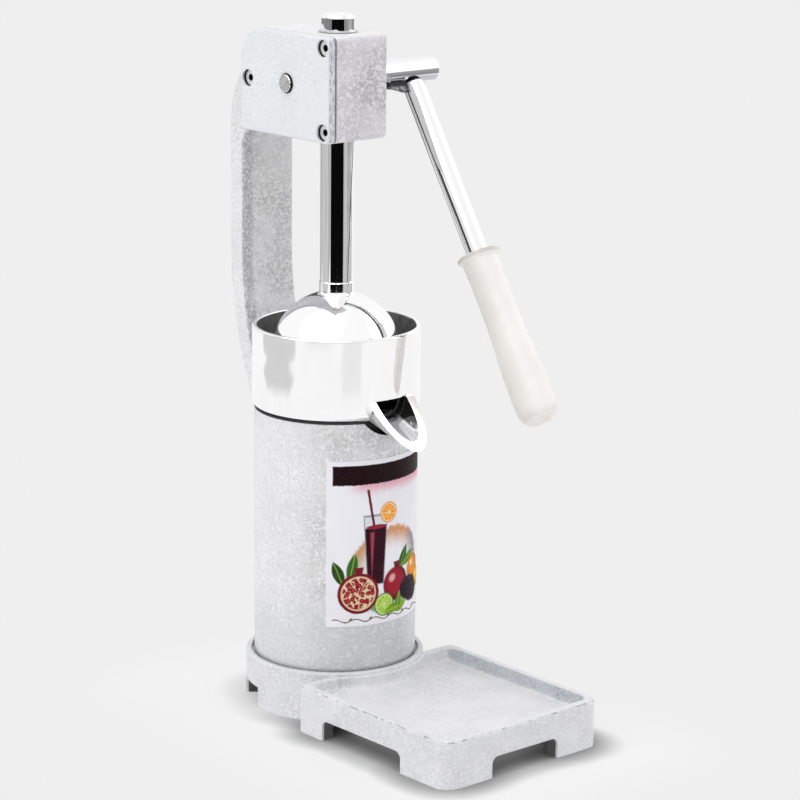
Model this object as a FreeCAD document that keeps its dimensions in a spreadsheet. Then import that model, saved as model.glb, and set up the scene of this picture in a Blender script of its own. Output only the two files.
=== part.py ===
import FreeCAD, Part
import math
import os
import Sketcher

# Hand press for pomegranates and citrus fruit.
# The row frame has its origin on the floor under the axis of the press rod.
# +Z is up, -Y is the front, where the juice runs out, and +X is the lever's side.

doc = FreeCAD.newDocument("hand_press")
sheet = doc.addObject("Spreadsheet::Sheet", "Sizes")

# Driving sizes in millimetres, and degrees where the name ends in angle.
DRIVING_SIZES = {
    # base casting
    "tray_half_width": 72.4,
    "tray_front": 202.5,
    "tray_back": 46.0,
    "tray_corner": 12.0,
    "tray_back_corner": 5.0,
    "hollow_neck_half": 34.0,
    "tray_rim_height": 34.2,
    "tray_rim_width": 6.5,
    "tray_depth": 9.0,
    "tray_inner_corner": 8.0,
    "tray_draft_angle": 12.0,
    "tray_ring_land": 2.0,
    "tray_floor_curve": 4.0,
    "tray_edge": 1.5,
    "tray_brow": 2.5,
    "foot_edge": 1.6,
    "roof_thickness": 5.0,
    "skirt_wall": 6.0,
    "leg_wall": 10.0,
    "arch_height": 15.0,
    "arch_corner": 5.0,
    "side_arch_back": 72.8,
    "side_arch_front": 155.5,
    "front_arch_half": 30.5,
    "foot_radius": 64.5,
    "foot_height": 36.0,
    "foot_recess_radius": 60.5,
    "foot_recess_depth": 3.0,
    "foot_arch_start_angle": 9.0,
    "foot_arch_end_angle": 40.0,
    "foot_arch_margin": 4.0,
    "back_arch_half": 22.0,
    # column
    "column_radius": 58.4,
    "column_wall": 6.0,
    "column_height": 217.4,
    "deck_thickness": 14.0,
    "seat_radius": 40.4,
    "seat_depth": 3.0,
    "notch_gap": 3.5,
    "notch_inset": 10.5,
    "boss_radius": 9.0,
    "boss_height": 26.0,
    "boss_end": 6.0,
    "thread_gap": 0.05,
    "bolt_hole_gap": 0.4,
    "washer_hole_gap": 0.2,
    "bolt_circle_radius": 46.0,
    # arm
    "arm_half_width": 23.5,
    "arm_back": 92.5,
    "arm_thickness": 15.4,
    "arm_bend_over_column": 102.6,
    "arm_bend_radius": 255.0,
    "arm_root_depth": 50.0,
    "arm_crown_over_head": 0.3,
    "arm_crown_radius": 74.3,
    "arm_crown_inset": 2.0,
    "arm_edge": 3.0,
    "arm_web_radius": 14.0,
    # gear housing
    "head_under_shaft": 37.9,
    "head_over_shaft": 35.6,
    "head_front": 26.3,
    "head_back": 71.7,
    "head_back_corner": 22.0,
    "head_corner": 4.0,
    "head_edge": 3.4,
    "head_side": 24.0,
    "head_open_side": 23.5,
    "chamber_end": 12.5,
    "chamber_front": 14.5,
    "chamber_back": 50.0,
    "chamber_under_shaft": 25.6,
    "chamber_over_shaft": 23.4,
    "chamber_corner": 8.0,
    # cover
    "gasket_thickness": 0.5,
    "gasket_inset": 0.6,
    "cover_thickness": 5.7,
    "cover_edge": 1.6,
    "cover_boss_radius": 13.0,
    "cover_lip": 1.8,
    "cover_lip_gap": 0.2,
    "screw_front": 19.0,
    "screw_back": 63.3,
    "screw_over_shaft": 27.9,
    "screw_under_shaft": 30.3,
    "screw_back_drop": 0.8,
    "screw_radius": 2.5,
    "screw_head_radius": 5.4,
    "screw_head_height": 1.4,
    "screw_length": 14.0,
    "screw_socket": 4.0,
    "screw_socket_depth": 2.4,
    "screw_hole_gap": 0.25,
    "counterbore_radius": 6.0,
    "counterbore_depth": 4.2,
    # rod and its guides
    "rod_radius": 11.8,
    "rod_over_boss": 21.4,
    "rod_over_head": 9.8,
    "rod_crown": 2.6,
    "rod_edge": 0.6,
    "bush_wall": 1.6,
    "bush_rise": 1.5,
    "running_gap": 0.05,
    "spigot_radius": 7.0,
    "spigot_length": 19.0,
    # gear
    "gear_module": 2.0,
    "gear_teeth": 14.0,
    "gear_half_width": 6.6,
    "pressure_angle": 20.0,
    "tooth_slack": 0.14,
    "tip_relief": 0.15,
    "root_gap": 0.5,
    "rack_depth": 4.0,
    "rack_width": 14.0,
    "rack_gaps_up": 2.0,
    "rack_gaps_down": 11.0,
    "rack_run_out": 4.0,
    # shaft
    "shaft_over_column": 230.2,
    "shaft_radius": 9.0,
    "seat_journal_radius": 7.5,
    "end_journal_radius": 6.75,
    "shaft_reach": 105.5,
    "shaft_stub": 2.0,
    "shaft_bush_wall": 3.0,
    "shaft_bevel": 1.0,
    "spacer_radius": 9.6,
    "spacer_length": 5.4,
    "side_gap": 0.1,
    "side_play": 0.3,
    "key_width": 4.0,
    "key_height": 3.4,
    "key_half_length": 5.4,
    "key_gap": 0.05,
    # lever and grip
    "lever_offset": 82.5,
    "lever_angle": 32.3,
    "lever_radius": 7.2,
    "lever_length": 262.0,
    "grip_start": 145.0,
    "grip_length": 130.0,
    "grip_flange_radius": 16.0,
    "grip_flange_edge": 1.0,
    "grip_flange_width": 2.2,
    "grip_neck_radius": 13.4,
    "grip_neck_at": 5.5,
    "grip_neck_curve": 900.0,
    "grip_waist_radius": 12.9,
    "grip_waist_at": 45.0,
    "grip_curve": 376.0,
    "grip_belly_radius": 15.3,
    "grip_belly_at": 105.0,
    "grip_belly_curve": 281.0,
    "grip_shoulder_radius": 15.0,
    "grip_shoulder_at": 118.0,
    "grip_shoulder_curve": 11.5,
    "grip_end_radius": 6.0,
    "grip_bore_play": 0.3,
    "gusset_length": 30.0,
    "gusset_drop": 7.0,
    "gusset_edge": 1.0,
    "gusset_thickness": 5.0,
    # pressing bell
    "bell_radius": 48.0,
    "bell_wall": 3.5,
    "bell_over_ledge": 18.0,
    "bell_skirt": 6.0,
    "bell_neck_radius": 12.25,
    "bell_neck_curve": 3.0,
    "bell_boss_radius": 15.0,
    "bell_boss_rise": 34.0,
    "bell_washer_inset": 3.0,
    "bolt_radius": 4.0,
    "bolt_head_height": 5.3,
    "bolt_head_flats": 13.0,
    "flat_washer_radius": 8.0,
    "flat_washer_thickness": 1.6,
    "bolt_length": 14.0,
    "bolt_end_play": 2.0,
    # cup
    "cup_radius": 60.0,
    "cup_height": 59.1,
    "cup_wall": 3.5,
    "cup_rim_edge": 1.2,
    "cup_floor": 4.0,
    "cup_corner": 5.0,
    "cup_ledge_rise": 16.6,
    "cup_ledge_width": 3.0,
    "cup_spigot_gap": 0.4,
    "cup_arm_gap": 1.5,
    "cup_post_radius": 11.0,
    "spout_root_radius": 21.0,
    "spout_taper_angle": 4.7,
    "spout_bore": 14.0,
    "spout_slope_angle": 21.0,
    "spout_axis_rise": 13.6,
    "spout_lip_rise": 14.6,
    "spout_lip_angle": 46.0,
    "spout_inset": 2.5,
    "spout_bore_inset": 16.0,
    "spout_overhang": 40.0,
    # strainer and pressing cone
    "strainer_gap": 0.3,
    "strainer_thickness": 1.2,
    "strainer_hole_radius": 1.75,
    "strainer_inner_row": 39.0,
    "strainer_row_step": 6.5,
    "strainer_holes": 30.0,
    "cone_radius": 34.0,
    "press_stop_gap": 0.3,
    "cone_base": 3.0,
    "cone_top_radius": 7.0,
    "cone_ribs": 12.0,
    "cone_rib_width": 2.6,
    "cone_rib_rise": 2.2,
    "cone_pin_radius": 4.0,
    "cone_pin_length": 9.0,
    "cone_pin_gap": 0.1,
    "cone_pin_play": 0.5,
    "cone_curve": 54.4,
    "cone_rib_inset": 1.0,
    "cone_rib_root": 3.0,
    # label
    "label_half_angle": 46.5,
    "label_over_foot": 33.0,
    "label_under_cup": 27.4,
    "label_thickness": 0.3,
    "label_gap": 0.05,
}


class Size:
    """A length that carries its number and its formula over the sheet's cells."""

    def __init__(self, number, formula=None):
        self.number = float(number)
        self.formula = formula if formula else repr(self.number)

    def __add__(self, other):
        other = as_size(other)
        return Size(self.number + other.number, f"({self.formula} + {other.formula})")

    def __radd__(self, other):
        return as_size(other) + self

    def __sub__(self, other):
        other = as_size(other)
        return Size(self.number - other.number, f"({self.formula} - {other.formula})")

    def __rsub__(self, other):
        return as_size(other) - self

    def __mul__(self, other):
        other = as_size(other)
        return Size(self.number * other.number, f"({self.formula} * {other.formula})")

    def __rmul__(self, other):
        return as_size(other) * self

    def __truediv__(self, other):
        other = as_size(other)
        return Size(self.number / other.number, f"({self.formula} / {other.formula})")

    def __neg__(self):
        return Size(-self.number, f"(0 - {self.formula})")


def as_size(value):
    return value if isinstance(value, Size) else Size(value)


def root(value):
    return Size(math.sqrt(value.number), f"sqrt({value.formula})")


def sine(angle):
    return Size(math.sin(math.radians(angle.number)), f"sin({angle.formula})")


def cosine(angle):
    return Size(math.cos(math.radians(angle.number)), f"cos({angle.formula})")


def tangent(angle):
    return Size(math.tan(math.radians(angle.number)), f"tan({angle.formula})")


class Sizes:
    """Every driving size, as an attribute with its alias as name."""


s = Sizes()
for row, (alias, number) in enumerate(DRIVING_SIZES.items(), start=1):
    sheet.set(f"A{row}", alias)
    sheet.set(f"B{row}", str(number))
    sheet.setAlias(f"B{row}", alias)
    setattr(s, alias, Size(number, f"Sizes.{alias}"))
doc.recompute()

# Heights over the floor, stacked from the column's top upwards, and the spout's reach from the cup
s.column_top = s.column_height
s.label_bottom = s.foot_height + s.label_over_foot
s.label_top = s.column_top - s.label_under_cup
s.cup_top = s.column_top + s.cup_height
s.cup_ledge_height = s.column_top + s.cup_ledge_rise
s.spout_axis_height = s.column_top + s.spout_axis_rise
s.spout_lip_height = s.column_top + s.spout_lip_rise
s.bell_centre = s.cup_ledge_height + s.bell_over_ledge
s.bell_boss_bottom = s.bell_centre + s.bell_boss_rise
s.shaft_height = s.column_top + s.shaft_over_column
s.head_bottom = s.shaft_height - s.head_under_shaft
s.head_top = s.shaft_height + s.head_over_shaft
s.chamber_bottom = s.shaft_height - s.chamber_under_shaft
s.chamber_top = s.shaft_height + s.chamber_over_shaft
s.screw_high = s.shaft_height + s.screw_over_shaft
s.screw_low = s.shaft_height - s.screw_under_shaft
s.screw_back_height = s.shaft_height - s.screw_back_drop
s.rod_bottom = s.bell_boss_bottom + s.rod_over_boss
s.rod_top = s.head_top + s.rod_over_head
s.arm_bend_height = s.column_top + s.arm_bend_over_column
s.arm_crown_height = s.head_bottom + s.arm_crown_over_head
s.spout_start = s.cup_radius - s.spout_inset
s.spout_bore_start = s.cup_radius - s.spout_bore_inset
s.spout_reach = s.cup_radius + s.spout_overhang


past = 1.0  # how far a cut runs on past the surface that it opens


# Sketches and features

def bind(feature, name, value):
    value = as_size(value)
    feature.setExpression(name, value.formula)


def new_body(name):
    body = doc.addObject("PartDesign::Body", name)
    body.Label = name
    return body


def new_sketch(body, plane, name, height=None):
    """A sketch on one of the body's own origin planes, raised along its normal."""
    sketch = body.newObject("Sketcher::SketchObject", name)
    for feature in body.Origin.OriginFeatures:
        if feature.Role == plane:
            sketch.AttachmentSupport = [(feature, "")]
    sketch.MapMode = "FlatFace"
    if height is not None:
        bind(sketch, "AttachmentOffset.Base.z", height)
    return sketch


def pin_coordinate(sketch, kind, edge, point, value, name):
    """Hold one coordinate of a sketch point at a value tied to the sheet."""
    value = as_size(value)
    sketch.addConstraint(Sketcher.Constraint(kind, edge, point, value.number))
    index = sketch.ConstraintCount - 1
    sketch.renameConstraint(index, name)
    sketch.setExpression(f"Constraints.{name}", value.formula)


def arc_through(start, end, radius, turn):
    """The short arc from start to end; turn is 1 counter-clockwise, -1 clockwise."""
    middle = (start + end) * 0.5
    chord = end - start
    half = chord.Length / 2.0
    rise = math.sqrt(max(radius * radius - half * half, 0.0))
    normal = FreeCAD.Vector(-chord.y, chord.x, 0).normalize()
    centre = middle + normal * (rise * turn)
    first = math.atan2(start.y - centre.y, start.x - centre.x)
    last = math.atan2(end.y - centre.y, end.x - centre.x)
    if turn < 0:
        first, last = last, first
    circle = Part.Circle(centre, FreeCAD.Vector(0, 0, 1), radius)
    return Part.ArcOfCircle(circle, first, last)


def draw_outline(sketch, points, tag=""):
    """A closed outline. A point is (across, up), or (across, up, radius, turn) for an arc to the next."""
    count = len(points)
    places = [FreeCAD.Vector(as_size(p[0]).number, as_size(p[1]).number, 0) for p in points]
    starts = []
    ends = []
    edges = []
    for index, point in enumerate(points):
        here = places[index]
        there = places[(index + 1) % count]
        if len(point) == 4:
            radius = as_size(point[2])
            arc = arc_through(here, there, radius.number, point[3])
            edge = sketch.addGeometry(arc, False)
            starts.append(1 if point[3] > 0 else 2)
            ends.append(2 if point[3] > 0 else 1)
        else:
            edge = sketch.addGeometry(Part.LineSegment(here, there), False)
            starts.append(1)
            ends.append(2)
        edges.append(edge)
    for index in range(count):
        after = (index + 1) % count
        joint = Sketcher.Constraint("Coincident", edges[index], ends[index], edges[after], starts[after])
        sketch.addConstraint(joint)
    for index, point in enumerate(points):
        pin_coordinate(sketch, "DistanceX", edges[index], starts[index], point[0], f"x{tag}{index}")
        pin_coordinate(sketch, "DistanceY", edges[index], starts[index], point[1], f"y{tag}{index}")
        if len(point) == 4:
            radius = as_size(point[2])
            sketch.addConstraint(Sketcher.Constraint("Radius", edges[index], radius.number))
            sketch.renameConstraint(sketch.ConstraintCount - 1, f"r{tag}{index}")
            sketch.setExpression(f"Constraints.r{tag}{index}", radius.formula)


def draw_circle(sketch, across, up, radius, tag=""):
    radius = as_size(radius)
    centre = FreeCAD.Vector(as_size(across).number, as_size(up).number, 0)
    edge = sketch.addGeometry(Part.Circle(centre, FreeCAD.Vector(0, 0, 1), radius.number), False)
    pin_coordinate(sketch, "DistanceX", edge, 3, across, f"x{tag}c")
    pin_coordinate(sketch, "DistanceY", edge, 3, up, f"y{tag}c")
    sketch.addConstraint(Sketcher.Constraint("Radius", edge, radius.number))
    sketch.renameConstraint(sketch.ConstraintCount - 1, f"r{tag}c")
    sketch.setExpression(f"Constraints.r{tag}c", radius.formula)


def rounded_box(left, bottom, right, top, radius):
    """Corner points of a rectangle whose four corners are arcs."""
    return [
        (left + radius, bottom),
        (right - radius, bottom, radius, 1),
        (right, bottom + radius),
        (right, top - radius, radius, 1),
        (right - radius, top),
        (left + radius, top, radius, 1),
        (left, top - radius),
        (left, bottom + radius, radius, 1),
    ]


def pad(body, sketch, name, length, reverse=False, middle=False):
    feature = body.newObject("PartDesign::Pad", name)
    feature.Profile = sketch
    bind(feature, "Length", length)
    feature.Reversed = reverse
    feature.Midplane = middle
    return feature


def pocket(body, sketch, name, length, reverse=False, middle=False):
    """A cut along the sketch's normal backwards, or forwards when reversed."""
    feature = body.newObject("PartDesign::Pocket", name)
    feature.Profile = sketch
    bind(feature, "Length", length)
    feature.Reversed = reverse
    feature.Midplane = middle
    return feature


def revolve(body, sketch, name, angle=360.0, middle=False, axis="V_Axis"):
    feature = body.newObject("PartDesign::Revolution", name)
    feature.Profile = sketch
    feature.ReferenceAxis = (sketch, [axis])
    bind(feature, "Angle", angle)
    feature.Midplane = middle
    return feature


def round_edges(body, name, radius, wanted):
    """Fillet the edges of the body's last solid that the test picks."""
    doc.recompute()
    last = body.Tip
    names = [f"Edge{i}" for i, edge in enumerate(last.Shape.Edges, start=1) if wanted(edge)]
    if not names:
        raise RuntimeError(f"{name}: no edge to round")
    feature = body.newObject("PartDesign::Fillet", name)
    feature.Base = (last, names)
    bind(feature, "Radius", radius)
    return feature


def around(body, feature, name, count, plane_axis="Z_Axis"):
    """Repeat a feature evenly about one of the body's axes."""
    pattern = body.newObject("PartDesign::PolarPattern", name)
    pattern.Originals = [feature]
    for item in body.Origin.OriginFeatures:
        if item.Role == plane_axis:
            pattern.Axis = (item, [""])
    bind(pattern, "Occurrences", count)
    pattern.Angle = 360.0
    body.Tip = pattern
    return pattern


def solid_of_revolution(name, profile):
    """A body turned about Z from a profile of (radius, height) points."""
    body = new_body(name)
    sketch = new_sketch(body, "XZ_Plane", f"{name}_profile")
    draw_outline(sketch, profile)
    revolve(body, sketch, f"{name}_turned")
    return body


def tube_profile(inner, outer, bottom, top):
    return [(inner, bottom), (outer, bottom), (outer, top), (inner, top)]


def tube_along_x(name, up, inner, outer, start, end):
    """A ring or bush on the shaft's axis, from one X to another."""
    body = new_body(name)
    sketch = new_sketch(body, "YZ_Plane", f"{name}_ring", start)
    draw_circle(sketch, shaft_depth, up, outer, "o")
    draw_circle(sketch, shaft_depth, up, inner, "i")
    pad(body, sketch, f"{name}_tube", end - start)
    return body


# Places that several pieces share

rack_pitch = s.gear_module * math.pi
gear_radius = s.gear_module * s.gear_teeth / 2
gear_tip_radius = gear_radius + s.gear_module
gear_root_radius = gear_radius - s.gear_module - s.root_gap
rack_flat = s.rod_radius - s.rack_depth
rack_line = rack_flat - s.gear_module
rack_root = rack_line - s.gear_module - s.root_gap
shaft_depth = rack_line + gear_radius
column_foot = s.foot_height - s.foot_recess_depth
roof_top = s.tray_rim_height - s.tray_depth
roof_under = roof_top - s.roof_thickness
bush_outer = s.rod_radius + s.running_gap + s.bush_wall
cover_inner = s.head_open_side + s.gasket_thickness
cover_outer = cover_inner + s.cover_thickness
bush_seat = cover_outer - s.cover_lip
shaft_bush_outer = s.shaft_radius + s.shaft_bush_wall
end_bush_outer = s.end_journal_radius + s.shaft_bush_wall
spacer_inner_face = s.gear_half_width + s.side_gap
spacer_outer_face = spacer_inner_face + s.spacer_length
deck_under = s.column_top - s.deck_thickness
strainer_top = s.cup_ledge_height + s.strainer_thickness
bell_bolt_under = s.bell_boss_bottom - s.flat_washer_thickness - s.bolt_head_height
cone_top = bell_bolt_under - s.press_stop_gap - s.cone_rib_rise
base_bolt_angles = (90.0, 210.0, 330.0)


def cover_screw_places():
    return [
        (-s.screw_front, s.screw_high),
        (-s.screw_front, s.screw_low),
        (s.screw_back, s.screw_back_height),
    ]


def head_outline(inset=0.0):
    """The gear housing's side view, with its large rear top corner."""
    front = -s.head_front + inset
    back = s.head_back - inset
    low = s.head_bottom + inset
    high = s.head_top - inset
    small = s.head_corner
    large = s.head_back_corner
    return [
        (front + small, low),
        (back - small, low, small, 1),
        (back, low + small),
        (back, high - large, large, 1),
        (back - large, high),
        (front + small, high, small, 1),
        (front, high - small),
        (front, low + small, small, 1),
    ]


def bolt_place(angle):
    turn = Size(angle)
    return s.bolt_circle_radius * cosine(turn), s.bolt_circle_radius * sine(turn)


# Base casting with its drip tray, round foot, skirts and eight legs

def base_outline():
    """Plan of the tray and the round foot together."""
    half = s.tray_half_width
    front = -s.tray_front
    back = -s.tray_back
    corner = s.tray_corner
    small = s.tray_back_corner
    meet = root(s.foot_radius * s.foot_radius - back * back)
    return [
        (-half + corner, front),
        (half - corner, front, corner, 1),
        (half, front + corner),
        (half, back - small, small, 1),
        (half - small, back),
        (meet, back, s.foot_radius, 1),
        (0.0, s.foot_radius, s.foot_radius, 1),
        (-meet, back),
        (-half + small, back, small, 1),
        (-half, back - small),
        (-half, front + corner, corner, 1),
    ]


def hollow_outline(wall):
    """Plan of the open underside: a box and a round, joined by a neck."""
    half = s.tray_half_width - wall
    front = -(s.tray_front - wall)
    back = -(s.tray_back + wall)
    corner = s.tray_inner_corner
    foot = s.foot_radius - wall
    neck = s.hollow_neck_half
    meet = -root(foot * foot - neck * neck)
    return [
        (-half + corner, front),
        (half - corner, front, corner, 1),
        (half, front + corner),
        (half, back),
        (neck, back),
        (neck, meet, foot, 1),
        (0.0, foot, foot, 1),
        (-neck, meet),
        (-neck, back),
        (-half, back),
        (-half, front + corner, corner, 1),
    ]


def make_base_tray():
    body = new_body("base_tray")
    plan = new_sketch(body, "XY_Plane", "base_plan")
    draw_outline(plan, base_outline())
    pad(body, plan, "base_block", s.tray_rim_height)

    foot = new_sketch(body, "XY_Plane", "foot_plan", s.arch_height)
    draw_circle(foot, 0.0, 0.0, s.foot_radius)
    pad(body, foot, "foot_ring", s.foot_height - s.arch_height)

    seat = new_sketch(body, "XY_Plane", "column_seat_plan", s.foot_height)
    draw_circle(seat, 0.0, 0.0, s.foot_recess_radius)
    pocket(body, seat, "column_seat", s.foot_recess_depth)

    hollow = new_sketch(body, "XY_Plane", "under_plan_low")
    draw_outline(hollow, hollow_outline(s.leg_wall))
    pocket(body, hollow, "under_hollow_low", s.arch_height, reverse=True)

    hollow = new_sketch(body, "XY_Plane", "under_plan_high", s.arch_height)
    draw_outline(hollow, hollow_outline(s.skirt_wall))
    pocket(body, hollow, "under_hollow_high", roof_under - s.arch_height, reverse=True)

    side = new_sketch(body, "YZ_Plane", "side_arch_view")
    corner = s.arch_corner
    draw_outline(side, arch_outline(-s.side_arch_front, -s.side_arch_back, s.arch_height, corner))
    pocket(body, side, "side_arches", (s.tray_half_width + past) * 2, middle=True)

    front = new_sketch(body, "XZ_Plane", "front_arch_view", s.tray_front - s.leg_wall - past)
    draw_outline(front, arch_outline(-s.front_arch_half, s.front_arch_half, s.arch_height, corner))
    pocket(body, front, "front_arch", s.leg_wall + past * 2, reverse=True)

    for name, first, last in foot_arches():
        wedge = new_sketch(body, "XY_Plane", f"{name}_plan")
        draw_outline(wedge, wedge_outline(first, last))
        pocket(body, wedge, name, s.arch_height, reverse=True)

    tray = new_sketch(body, "XY_Plane", "tray_plan", s.tray_rim_height)
    draw_outline(tray, tray_outline())
    floor = pocket(body, tray, "tray_recess", s.tray_depth)
    bind(floor, "TaperAngle", -s.tray_draft_angle)
    round_edges(body, "tray_floor_curves", s.tray_floor_curve, is_tray_floor_edge)
    round_edges(body, "tray_inner_edges", s.tray_edge, is_tray_inner_edge)
    round_edges(body, "foot_ring_edge", s.foot_edge, is_foot_ring_edge)
    round_edges(body, "tray_outer_edges", s.tray_brow, is_tray_outer_edge)

    for number, angle in enumerate(base_bolt_angles, start=1):
        across, up = bolt_place(angle)
        hole = new_sketch(body, "XY_Plane", f"bolt_hole_plan_{number}", roof_under - past)
        draw_circle(hole, across, up, s.bolt_radius + s.bolt_hole_gap)
        pocket(body, hole, f"bolt_hole_{number}", column_foot - roof_under + past * 2, reverse=True)
    return body


def lies_at(edge, height):
    """True for an edge that lies flat at that height."""
    box = edge.BoundBox
    return box.ZLength < 1e-3 and abs(box.ZMin - height.number) < 1e-3


def is_tray_floor_edge(edge):
    return lies_at(edge, roof_top) and edge.BoundBox.YMax < -s.hollow_neck_half.number


def is_tray_inner_edge(edge):
    box = edge.BoundBox
    rim = s.tray_rim_width.number - 1e-3
    behind_front = box.YMin > rim - s.tray_front.number
    before_back = box.YMax < -s.tray_back.number - rim
    between = max(abs(box.XMin), abs(box.XMax)) < s.tray_half_width.number - rim
    return lies_at(edge, s.tray_rim_height) and behind_front and before_back and between


def is_tray_outer_edge(edge):
    box = edge.BoundBox
    side = max(abs(box.XMin), abs(box.XMax))
    beside = s.tray_half_width.number - side < 1e-3
    before = abs(box.YMin + s.tray_front.number) < 1e-3
    return lies_at(edge, s.tray_rim_height) and (beside or before)


def is_foot_ring_edge(edge):
    box = edge.BoundBox
    wide = box.XLength > (s.foot_recess_radius * 2).number + 1.0
    return lies_at(edge, s.foot_height) and wide


def arch_outline(left, right, high, corner):
    """A low arch from under the floor line up to its soffit."""
    return [
        (left, -past),
        (right, -past),
        (right, high - corner, corner, 1),
        (right - corner, high),
        (left + corner, high, corner, 1),
        (left, high - corner),
    ]


def foot_arches():
    """Names and angle ranges of the arches between the legs of the round foot."""
    start = s.foot_arch_start_angle
    end = s.foot_arch_end_angle
    half = s.back_arch_half
    return [
        ("left_foot_arch", 180.0 - end, 180.0 - start),
        ("right_foot_arch", start, end),
        ("back_foot_arch", 90.0 - half, 90.0 + half),
    ]


def wedge_outline(first, last):
    """A sector of the ring between the inside of the leg wall and beyond the foot."""
    inner = s.foot_radius - s.leg_wall - s.foot_arch_margin
    outer = s.foot_radius + s.foot_arch_margin
    first = as_size(first)
    last = as_size(last)
    return [
        (inner * cosine(first), inner * sine(first)),
        (outer * cosine(first), outer * sine(first), outer, 1),
        (outer * cosine(last), outer * sine(last)),
        (inner * cosine(last), inner * sine(last), inner, -1),
    ]


def tray_outline():
    """The recess of the tray, whose back follows the round foot."""
    half = s.tray_half_width - s.tray_rim_width
    front = -(s.tray_front - s.tray_rim_width)
    back = -(s.tray_back + s.tray_rim_width)
    corner = s.tray_inner_corner
    ring = s.foot_radius + s.tray_ring_land
    meet = root(ring * ring - back * back)
    return [
        (-half + corner, front),
        (half - corner, front, corner, 1),
        (half, front + corner),
        (half, back - corner, corner, 1),
        (half - corner, back),
        (meet, back, ring, -1),
        (-meet, back),
        (-half + corner, back, corner, 1),
        (-half, back - corner),
        (-half, front + corner, corner, 1),
    ]


# Main casting: hollow column, rear arm and gear housing in one piece

def make_column():
    """The hollow column with its deck, bolt bosses and the notch for the spout."""
    body = new_body("column")
    inner = s.column_radius - s.column_wall
    seat_floor = s.column_top - s.seat_depth
    profile = new_sketch(body, "XZ_Plane", "column_profile")
    draw_outline(profile, [
        (0.0, deck_under),
        (inner, deck_under),
        (inner, column_foot),
        (s.column_radius, column_foot),
        (s.column_radius, s.column_top),
        (s.seat_radius, s.column_top),
        (s.seat_radius, seat_floor),
        (0.0, seat_floor),
    ])
    revolve(body, profile, "column_turned")

    for number, angle in enumerate(base_bolt_angles, start=1):
        across, up = bolt_place(angle)
        boss = new_sketch(body, "XY_Plane", f"boss_plan_{number}", column_foot)
        draw_circle(boss, across, up, s.boss_radius)
        pad(body, boss, f"boss_{number}", s.boss_height)
        hole = new_sketch(body, "XY_Plane", f"boss_hole_plan_{number}", column_foot)
        draw_circle(hole, across, up, s.bolt_radius + s.thread_gap)
        pocket(body, hole, f"boss_hole_{number}", s.boss_height - s.boss_end, reverse=True)

    notch = new_sketch(body, "XZ_Plane", "spout_notch_view", s.column_radius - s.notch_inset)
    draw_circle(notch, 0.0, s.spout_axis_height, s.spout_root_radius + s.notch_gap)
    pocket(body, notch, "spout_notch", s.notch_inset + past, reverse=True)
    return body


def make_arm():
    """The rear strap between the column and the gear housing, with rounded edges."""
    body = new_body("arm")
    view = new_sketch(body, "YZ_Plane", "arm_side_view")
    draw_outline(view, arm_outline())
    pad(body, view, "arm_block", s.arm_half_width * 2, middle=True)
    round_edges(body, "arm_edges", s.arm_edge, is_arm_edge)

    clearance = new_sketch(body, "XY_Plane", "cup_clearance_plan", s.column_top)
    draw_circle(clearance, 0.0, 0.0, s.cup_radius + s.cup_arm_gap)
    pocket(body, clearance, "cup_clearance", s.cup_top - s.column_top, reverse=True)
    return body


def make_head():
    """The gear housing: a rounded block with the chamber, the rod's bore and the bearing."""
    body = new_body("gear_housing")
    view = new_sketch(body, "YZ_Plane", "head_side_view", -s.head_open_side)
    draw_outline(view, head_outline())
    pad(body, view, "head_block", s.head_side + s.head_open_side)
    round_edges(body, "head_edges", s.head_edge, is_head_side_edge)

    chamber = new_sketch(body, "YZ_Plane", "chamber_view", -s.head_open_side)
    draw_outline(chamber, chamber_outline())
    pocket(body, chamber, "gear_chamber", s.head_open_side + s.chamber_end, reverse=True)

    guide = new_sketch(body, "XY_Plane", "guide_bore_plan", s.head_top + past)
    draw_circle(guide, 0.0, 0.0, bush_outer)
    pocket(body, guide, "guide_bore", s.head_top - s.head_bottom + past * 2)

    bearing = new_sketch(body, "YZ_Plane", "bearing_bore_view", s.head_side + past)
    draw_circle(bearing, shaft_depth, s.shaft_height, shaft_bush_outer)
    pocket(body, bearing, "bearing_bore", s.head_side - s.chamber_end + past * 2)

    for number, (across, up) in enumerate(cover_screw_places(), start=1):
        tapped = new_sketch(body, "YZ_Plane", f"tapped_hole_view_{number}", -s.head_open_side)
        draw_circle(tapped, across, up, s.screw_radius + s.thread_gap)
        pocket(body, tapped, f"tapped_hole_{number}", s.screw_length, reverse=True)
    return body


def make_frame_casting():
    """Column, arm and gear housing are cast in one piece."""
    casting = doc.addObject("Part::MultiFuse", "frame_casting")
    casting.Label = "frame_casting"
    casting.Shapes = [make_column(), make_arm(), make_head()]
    return casting


def chamber_outline():
    return rounded_box(
        -s.chamber_front, s.chamber_bottom, s.chamber_back, s.chamber_top, s.chamber_corner)


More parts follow.
